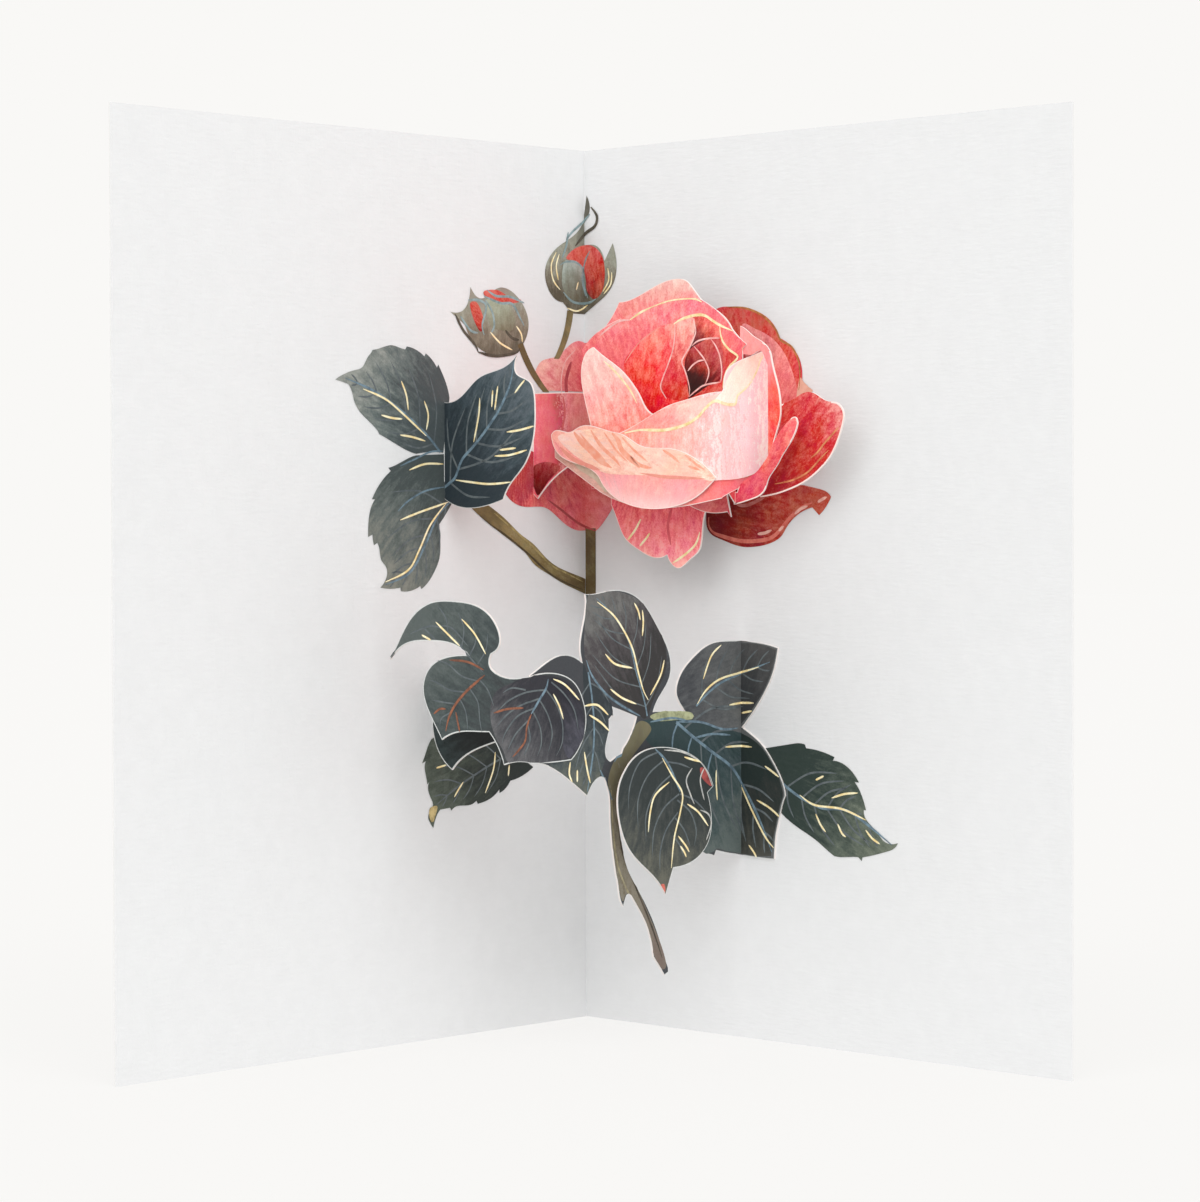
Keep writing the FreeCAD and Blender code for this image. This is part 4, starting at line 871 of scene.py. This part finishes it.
# The front leaf: a flat die-cut piece on a foam pad in front of the stem sheet. Its right edge is
# drawn as if it curled over, with pale lines and a red tip, and its lower tip is pink.
front_sheet = Sheet(q=47.8007)
curled = Print("front_leaf_ink", front_sheet)
front_leaf_wash = leaf_wash("front_leaf_wash", front_sheet, (665, 755), (655, 885), (46, 52, 52),
                            (62, 66, 64), (92, 92, 82))
curled.cover("front_leaf", front_leaf_wash, border=0.28)
curled.lines(vein, 0.5, 0.07, [(655, 749), (668, 764), (680, 792)])
curled.lines(
    fine_vein, 0.34, 0.06, [(658, 752), (640, 762), (630, 785), (628, 810)],
    [(664, 760), (648, 775), (638, 800), (638, 830)], [(672, 774), (656, 790), (646, 815), (646, 842)],
    [(679, 794), (664, 808), (654, 830), (652, 858)], [(678, 812), (666, 830), (660, 852), (660, 872)],
    [(677, 800), (690, 812), (696, 830), (694, 846)], [(675, 818), (684, 830), (690, 846)],
    [(673, 836), (680, 846), (684, 858)], [(680, 794), (694, 800), (706, 812)],
    [(668, 762), (680, 764), (690, 768)], ends=(0.9, 0.1))
curled.gild(
    0.42, [(662, 758), (672, 776), (682, 793), (680, 812), (674, 838), (671, 868)],
    [(669, 782), (655, 795), (650, 812), (648, 832)], [(684, 757), (694, 760), (703, 762)],
    [(687, 804), (698, 812), (708, 826)], [(678, 836), (685, 845), (689, 852)],
    [(680, 846), (684, 852), (686, 857)])
red_tip = brush("red_tip", (170, 84, 80), (132, 60, 60))
curled.field([(700, 768), (706, 770), (712, 786), (710, 786), (702, 778)], red_tip, 0.06)
pink_tip = brush("pink_tip", (214, 118, 102), (190, 92, 80))
curled.field([(660, 886), (664, 884), (665, 892), (660, 898), (658, 897)], pink_tip, 0.06)
curl_line = brush("curl_line", (206, 204, 198), (160, 164, 164))
curled.lines(curl_line, 0.35, 0.085, [(664, 750), (682, 752), (698, 760), (706, 770), (712, 786)],
             [(692, 768), (686, 780), (690, 794), (694, 804)],
             [(700, 810), (708, 814), (711, 824), (706, 840)], [(704, 768), (700, 780), (704, 800)])
curled.lay("leaf_green")

# The crown petal: the pale piece at the top of the bloom, glued behind the heart. Like the eleven
# pieces after it, it is smooth paper, die-cut and printed, with a white border at its cut edge.
crown_sheet = Sheet(p=8.3)
crown = Print("crown_petal_ink", crown_sheet)
crown_wash = wash("crown_wash", crown_sheet, (665, 325), (668, 278),
                  [(0.0, (238, 128, 130)), (0.45, (236, 146, 140)), (0.8, (234, 176, 166)),
                   (1.0, (238, 196, 186))], streak=0.3, fan=0.4)
crown.cover("crown_petal", crown_wash, border=0.18)
crown.lay("petal_pink")

# The heart: one flat sheet with the bloom's inner petals painted on it, from the coral ring to the
# dark spiral, each a wash of its own. White lines part the petals and gilt ones edge their lips.
heart_sheet = Sheet(p=8.6007)
heart = Print("heart_petals_ink", heart_sheet)
ring_wash = wash("ring_wash", heart_sheet, (660, 430), (650, 300),
                 [(0.0, (236, 92, 92)), (0.4, (240, 110, 114)), (0.75, (241, 120, 124)),
                  (1.0, (244, 150, 148))], streak=0.28, fan=0.8)
heart.cover("heart_petals", ring_wash, border=0.2, bleeds=((620, 285, 716, 330), (736, 338, 760, 460),
                                                           (560, 330, 598, 480)))
right_fold = wash("right_fold", heart_sheet, (722, 392), (715, 318),
                  [(0.0, (214, 62, 56)), (0.4, (208, 74, 68)), (0.7, (228, 96, 88)),
                   (1.0, (244, 118, 106))], streak=0.3, fan=0.6)
heart.field([(675, 324), (688, 317), (703, 316), (716, 322), (724, 328), (724, 328), (721, 338),
             (728, 350), (739, 357), (730, 368), (724, 386), (700, 400), (672, 402), (660, 388),
             (668, 360), (674, 340)], right_fold, 0.045)
left_fold = wash("left_fold", heart_sheet, (650, 412), (662, 325),
                 [(0.0, (236, 44, 40)), (0.35, (240, 66, 60)), (0.65, (244, 104, 96)),
                  (1.0, (250, 146, 138))], streak=0.3, fan=0.5)
heart.field([(624, 364), (632, 350), (641, 340), (656, 329), (668, 324), (675, 324), (675, 324),
             (675, 345), (669, 370), (661, 386), (666, 397), (680, 402), (664, 412), (648, 412),
             (638, 400), (630, 382)], left_fold, 0.05)
recess = wash("recess", heart_sheet, (694, 346), (708, 320),
              [(0.0, (84, 26, 28)), (0.45, (150, 56, 54)), (0.7, (206, 84, 76)), (1.0, (242, 112, 100))],
              streak=0.35, fan=0.8)
heart.field([(693, 318), (704, 317), (716, 322), (722, 330), (719, 338), (706, 340), (696, 346),
             (690, 352), (692, 336)], recess, 0.055)
spiral = wash("spiral", heart_sheet, (698, 382), (712, 344),
              [(0.0, (70, 8, 8)), (0.35, (128, 22, 20)), (0.6, (176, 62, 60)), (1.0, (200, 84, 80))],
              streak=0.35, fan=1.0)
heart.field([(685, 362), (690, 350), (698, 344), (708, 340), (719, 339), (723, 352), (723, 368),
             (720, 380), (708, 386), (698, 393), (688, 398), (686, 380)], spiral, 0.06)
upright = wash("upright", heart_sheet, (678, 402), (686, 320),
               [(0.0, (214, 42, 34)), (0.4, (220, 78, 72)), (0.7, (240, 136, 128)),
                (1.0, (246, 176, 164))], streak=0.3, fan=0.3)
heart.field([(676, 323), (684, 319), (694, 318), (695, 330), (691, 345), (684, 360), (687, 378),
             (690, 397), (690, 397), (676, 400), (666, 396), (662, 385), (667, 370), (673, 348)], upright,
            0.065)
bud_of_heart = wash("bud_of_heart", heart_sheet, (692, 382), (705, 364),
                    [(0.0, (112, 14, 12)), (1.0, (178, 52, 48))], fan=0.5)
heart.field([(690, 372), (695, 366), (703, 362), (708, 368), (706, 376), (699, 378), (690, 384)],
            bud_of_heart, 0.065)
darkest = wash("darkest", heart_sheet, (696, 386), (703, 364),
               [(0.0, (44, 6, 4)), (0.45, (66, 10, 8)), (0.75, (130, 28, 22)), (1.0, (176, 56, 50))],
               fan=0.4, cloud=0.1, mottle=0.2)
heart.field([(687, 372), (693, 367), (700, 365), (706, 370), (706, 379), (701, 387), (695, 393),
             (690, 396), (688, 386)], darkest, 0.068)
inner_lip = wash("inner_lip", heart_sheet, (690, 398), (722, 382),
                 [(0.0, (200, 36, 28)), (1.0, (230, 92, 86))], fan=0.4)
heart.field([(689, 399), (700, 393), (712, 386), (722, 380), (724, 388), (712, 393), (698, 398)],
            inner_lip, 0.07)
heart.lines(
    white_line, 0.34, 0.08, [(675, 324), (675, 335), (673, 350), (668, 365), (663, 378), (661, 388),
                             (667, 399)], [(693, 318), (696, 330), (694, 338), (690, 347), (685, 355),
                                           (682, 362), (685, 370), (688, 380), (690, 390), (689, 396)],
    [(692, 346), (698, 341), (708, 338.5), (720, 338)], [(711, 339), (716, 346), (720, 356), (722, 370),
                                                         (721, 382)],
    [(694, 346), (700, 353), (705, 360), (709, 370), (708, 378), (705, 385)],
    [(688, 371), (693, 365), (699, 361), (705, 360)], [(689, 397), (697, 390), (705, 385), (721, 382)])
pale_line = brush("pale_line", (246, 170, 158), (240, 140, 130))
heart.lines(pale_line, 0.3, 0.08, [(625, 363), (632, 352), (640, 342), (650, 334), (660, 327)])
heart.lines(white_line, 0.4, 0.08, [(600, 336), (609, 328), (620, 321), (630, 320)])
heart.lines(white_line, 0.35, 0.08, [(706, 303), (712, 307), (718, 311), (724, 317), (729, 323),
                                     (732, 329)])
heart.lines(white_line, 0.35, 0.08, [(733, 331), (740, 338), (746, 344)])
heart.gild(0.6, [(630, 320), (640, 313), (650, 307), (660, 303), (670, 300), (680, 298.5), (690, 298),
                 (697, 299.5), (702, 302)])
heart.gild(0.55, [(674, 324), (680, 320), (688, 317), (697, 315), (705, 315.5), (712, 320), (720, 325),
                  (733, 331)])
heart.gild(0.45, [(720, 326), (721, 335), (724, 343), (730, 350), (738, 357), (730, 366), (725, 376),
                  (723, 388)])
warm_line = brush("warm_line", (250, 176, 130), (240, 140, 110))
heart.lines(warm_line, 0.35, 0.085, [(744, 345), (744.5, 357)])
heart.lay("petal_pink")

# The right petal: a slim coral piece, glued behind the heart, with a white border only along the
# edge that stands clear of it.
right_sheet = Sheet(p=8.3)
right = Print("right_petal_ink", right_sheet)
right_wash = wash("right_wash", right_sheet, (758, 326), (772, 458),
                  [(0.0, (248, 160, 156)), (0.22, (238, 140, 140)), (0.4, (230, 106, 98)),
                   (0.7, (232, 84, 72)), (1.0, (226, 112, 98))], streak=0.25, fan=0.3)
right.cover("right_petal", right_wash, border=0.4, bleeds=((736, 318, 762, 345), (740, 345, 770, 470)))
right.lay("petal_pink")

# The base petal: the ragged pink piece that hangs below the bloom, glued behind the heart sheet,
# with gilt along its lobes.
base_sheet = Sheet(p=8.3)
base = Print("base_petal_ink", base_sheet)
base_wash = wash("base_wash", base_sheet, (665, 490), (662, 562),
                 [(0.0, (222, 82, 90)), (0.35, (240, 110, 116)), (0.75, (246, 136, 142)),
                  (1.0, (248, 168, 162))], streak=0.38, fan=0.5)
base.cover("base_petal", base_wash, border=0.25)
base.gild(0.5, [(641, 519), (636, 529), (628, 540)], [(650, 533), (646, 539), (640, 546)],
          [(700, 532), (696, 544), (686, 554), (673, 563)])
base_fold = brush("base_fold", (226, 98, 106), (214, 86, 96))
base.lines(base_fold, 0.7, 0.05, [(672, 508), (668, 525), (671, 545)])
base.lay("petal_pink")

# The tip petal: the small pointed piece between the base petal and the side petal, in one flat
# pink wash.
tip_sheet = Sheet(p=8.9014)
tip = Print("tip_petal_ink", tip_sheet)
tip_wash = wash("tip_wash", tip_sheet, (730, 490), (705, 508),
                [(0.0, (200, 70, 74)), (1.0, (222, 120, 120))], streak=0.3)
tip.cover("tip_petal", tip_wash, border=0.28)
tip.lay("petal_pink")

# The left petal: a pale piece at the bloom's left, glued behind the sheet that carries the front,
# with one gilt line down its inner edge.
left_sheet = Sheet(p=15.5007)
left = Print("left_petal_ink", left_sheet)
left_wash = wash("left_wash", left_sheet, (622, 448), (598, 348),
                 [(0.0, (242, 126, 112)), (0.3, (248, 158, 148)), (0.6, (248, 188, 180)),
                  (1.0, (247, 214, 205))], streak=0.3, fan=0.7)
left.cover("left_petal", left_wash, border=0.35)
left.gild(0.42, [(604, 361), (612, 368), (622, 379), (631, 391), (637, 403)])
left.lay("petal_pale")

# The band: a small folded tent across the card's fold, glued to both panels. Its pink is darkest
# along a line below the bud's stem, with a deep red hollow painted at the lower left.
band_sheet = Sheet(p=15.5007, q=9.9007)
band = Print("band_petal_ink", band_sheet)
band_wash = wash(
    "band_wash", band_sheet, (530, 430), (600, 430), [(0.0, (236, 118, 130)), (0.3, (216, 100, 110)),
                                                      (0.42, (176, 66, 72)), (0.46, (204, 122, 124)),
                                                      (1.0, (214, 164, 154))], streak=0.08, fan=0.01,
    cloud=0.1, turned=True, mottle=0.16)
band.cover("band_petal", band_wash, border=0.3)
band_line = brush("band_line", (196, 90, 90), (184, 80, 82))
band.lines(band_line, 0.5, 0.05, [(563, 396), (565, 412), (562, 432)])
band_shade = wash("band_shade", band_sheet, (540, 492), (545, 455),
                  [(0.0, (92, 10, 10)), (0.5, (136, 34, 34)), (1.0, (186, 84, 86))], streak=0.2, fan=0.5)
band.field([(531, 474), (534, 466), (545, 462), (556, 464), (560, 468), (548, 482), (539, 495),
            (535, 490)], band_shade, 0.045)
band.lay("petal_pink")

# The under petal: the folded sheet beneath the front petal, from the band round to the right panel.
# Only its edges show, beige at the left and rose at the right.
under_petal_sheet = Sheet(p=15.8014, q=52.9007)
under_petal = Print("under_petal_ink", under_petal_sheet)
under_wash = wash("under_wash", under_petal_sheet, (565, 470), (770, 485),
                  [(0.0, (206, 166, 152)), (0.25, (224, 172, 158)), (0.5, (246, 146, 140)),
                   (0.75, (244, 120, 122)), (1.0, (214, 84, 92))], streak=0.15, fan=0.3)
under_petal.cover("under_petal", under_wash, border=0.22)
under_beige = brush("under_beige", (212, 196, 174), (200, 178, 156))
under_petal.field([(572, 461), (590, 467), (604, 473), (609, 479), (609, 487), (606, 492), (600, 486),
                   (594, 479), (580, 470)], under_beige, 0.045)
under_brown = brush("under_brown", (200, 130, 114), (188, 112, 100))
under_petal.lines(under_brown, 1.1, 0.047, [(612, 474), (614, 482), (611, 492)])
under_petal.lay("petal_pink")

# The front petal: the large pale piece, folded over the under petal. Its turned lip is a paler
# wash that rises to a cream flap, and a gilt line follows the lip's lower edge.
front_petal_sheet = Sheet(p=16.102, q=53.2014)
front_petal = Print("front_petal_ink", front_petal_sheet)
front_wash = wash(
    "front_wash", front_petal_sheet, (625, 445), (768, 445),
    [(0.0, (246, 158, 142)), (0.4, (250, 184, 174)), (0.58, (253, 198, 196)), (0.63, (254, 218, 214)),
     (0.72, (252, 202, 204)), (0.8, (255, 220, 220)), (0.88, (250, 198, 204)), (1.0, (254, 220, 216))],
    streak=0.14, fan=0.01, cloud=0.1, turned=True)
front_petal.cover("front_petal", front_wash, border=0.26, bleeds=((716, 395, 727, 500),
                                                                  (764, 366, 780, 460)))
lip_wash = wash("lip_wash", front_petal_sheet, (660, 432), (690, 402),
                [(0.0, (244, 156, 146)), (0.5, (246, 174, 164)), (1.0, (252, 200, 190))], streak=0.2,
                fan=0.4)
front_petal.field([(629, 430), (643, 418.5), (662, 410), (684, 403.5), (706, 397), (722, 394), (720, 402),
                   (709, 405), (700, 415), (690, 422), (668, 429), (642, 429)], lip_wash, 0.05)
flap_wash = wash("flap_wash", front_petal_sheet, (728, 404), (758, 356),
                 [(0.0, (254, 240, 226)), (0.45, (253, 226, 210)), (1.0, (253, 206, 190))], streak=0.3,
                 fan=0.5)
front_petal.field([(715, 401), (723, 390), (726, 381), (731, 372), (736, 365), (745, 358), (755, 353),
                   (760, 351), (763, 355), (760, 364), (752, 381), (745, 389), (737, 396), (735, 404),
                   (725, 404)], flap_wash, 0.055)
front_petal.gild(0.6, [(625, 433), (641, 430), (665, 430), (685, 425), (698, 417), (706, 408), (715, 401),
                       (725, 404), (735, 404), (737, 396), (745, 389), (752, 381)])
front_petal.gild(0.4, [(752, 380), (757, 370), (760, 361), (763, 356)])
front_petal.lay("petal_pale")

# The low petal: the flat piece across the front of the bloom, pink below and cream above, with
# slanting coral streaks on the cream.
low_sheet = Sheet(p=16.403)
low = Print("low_petal_ink", low_sheet)
low_wash = wash("low_wash", low_sheet, (650, 508), (655, 462),
                [(0.0, (249, 204, 200)), (0.35, (246, 172, 172)), (0.8, (245, 160, 156)),
                 (1.0, (243, 176, 160))], streak=0.3, fan=0.6)
low.cover("low_petal", low_wash, border=0.3)
cream_wash = wash("cream_wash", low_sheet, (560, 440), (735, 482),
                  [(0.0, (246, 212, 200)), (0.25, (244, 194, 172)), (0.5, (246, 206, 188)),
                   (0.75, (244, 190, 168)), (1.0, (250, 220, 202))], streak=0.5, fan=0.5, cloud=0.25)
low.field([(558, 438), (566, 433), (580, 430), (602, 429), (626, 433), (642, 441), (658, 448), (682, 451),
           (702, 459), (720, 471), (732, 480), (732, 480), (712, 481), (690, 477), (664, 475), (636, 475),
           (606, 473), (588, 464), (572, 453)], cream_wash, 0.05)
streak_ink = brush("streak", (243, 160, 132), (246, 184, 160))
for width, stroke in ((1.3, [(574, 432), (580, 440), (590, 450), (600, 460), (612, 468)]),
                      (0.5, [(580, 433), (587, 442), (597, 452), (606, 461)]),
                      (0.8, [(591, 430), (597, 440), (604, 449), (614, 458), (621, 467)]),
                      (1.2, [(612, 433), (618, 440), (622, 450), (632, 460), (640, 468)]),
                      (0.5, [(604, 432), (610, 441), (617, 451), (628, 462)]),
                      (0.5, [(622, 437), (634, 450), (648, 462)]),
                      (0.7, [(630, 456), (640, 465), (652, 468)]),
                      (0.6, [(663, 450), (672, 456), (680, 463)]),
                      (0.5, [(685, 455), (695, 463), (705, 470)]),
                      (0.5, [(688, 466), (694, 468), (700, 470)])):
    low.lines(streak_ink, width, 0.06, stroke, ends=(0.25, 0.1))
rose_ink = brush("rose_streak", (238, 160, 142), (232, 146, 132))
low.lines(rose_ink, 0.9, 0.058, [(560, 447), (575, 460), (600, 470)], ends=(0.2, 0.2))
low.lines(rose_ink, 0.6, 0.058, [(640, 473), (665, 477), (690, 478), (706, 479)], ends=(0.1, 0.1))
low.lay("petal_pale")

# The wing petal: the deep red piece at the right, glued behind the right petal and held off the
# panel by a strut, with two thin gold lines along its outer edge.
wing_sheet = Sheet(p=7.9993)
wing = Print("wing_petal_ink", wing_sheet)
wing_wash = wash("wing_wash", wing_sheet, (770, 482), (838, 402),
                 [(0.0, (158, 24, 22)), (0.35, (180, 34, 32)), (0.62, (198, 52, 46)),
                  (0.85, (212, 88, 86)), (1.0, (224, 132, 128))], streak=0.22, fan=0.4)
wing.cover("wing_petal", wing_wash, border=0.5, bleeds=((755, 385, 838, 404), (745, 400, 775, 490)))
wing_gilt = brush("wing_gilt", (222, 146, 98), (190, 96, 64))
wing.lines(wing_gilt, 0.4, 0.09, [(839, 427), (832, 435), (824, 444), (818, 452), (811, 458)])
wing.lines(wing_gilt, 0.35, 0.09, [(829, 450), (822, 457), (815, 465), (808, 472), (800, 477), (790, 481),
                                   (775, 484)])
wing.lay("petal_deep")

# The side petal: the slim rose piece in front of the wing petal. Its tab, glued inside the under
# petal's side, is painted too.
side_sheet = Sheet(p=11.3007)
side = Print("side_petal_ink", side_sheet)
side_wash = wash("side_wash", side_sheet, (738, 500), (793, 418),
                 [(0.0, (208, 76, 88)), (0.5, (218, 84, 90)), (0.8, (232, 104, 102)),
                  (1.0, (244, 130, 118))], streak=0.3, fan=0.3)
side.cover("side_petal", side_wash, border=0.35, bleeds=((736, 416, 790, 486),))
side.lay("petal_pink")

tab_sheet = Sheet(q=52.6007)
tab = Print("side_petal_tab_ink", tab_sheet)
tab_wash = wash("tab_wash", tab_sheet, (733, 512), (734, 486),
                [(0.0, (196, 74, 74)), (1.0, (214, 92, 90))])
tab.cover("side_petal", tab_wash, border=0)
tab.lay("petal_pink")
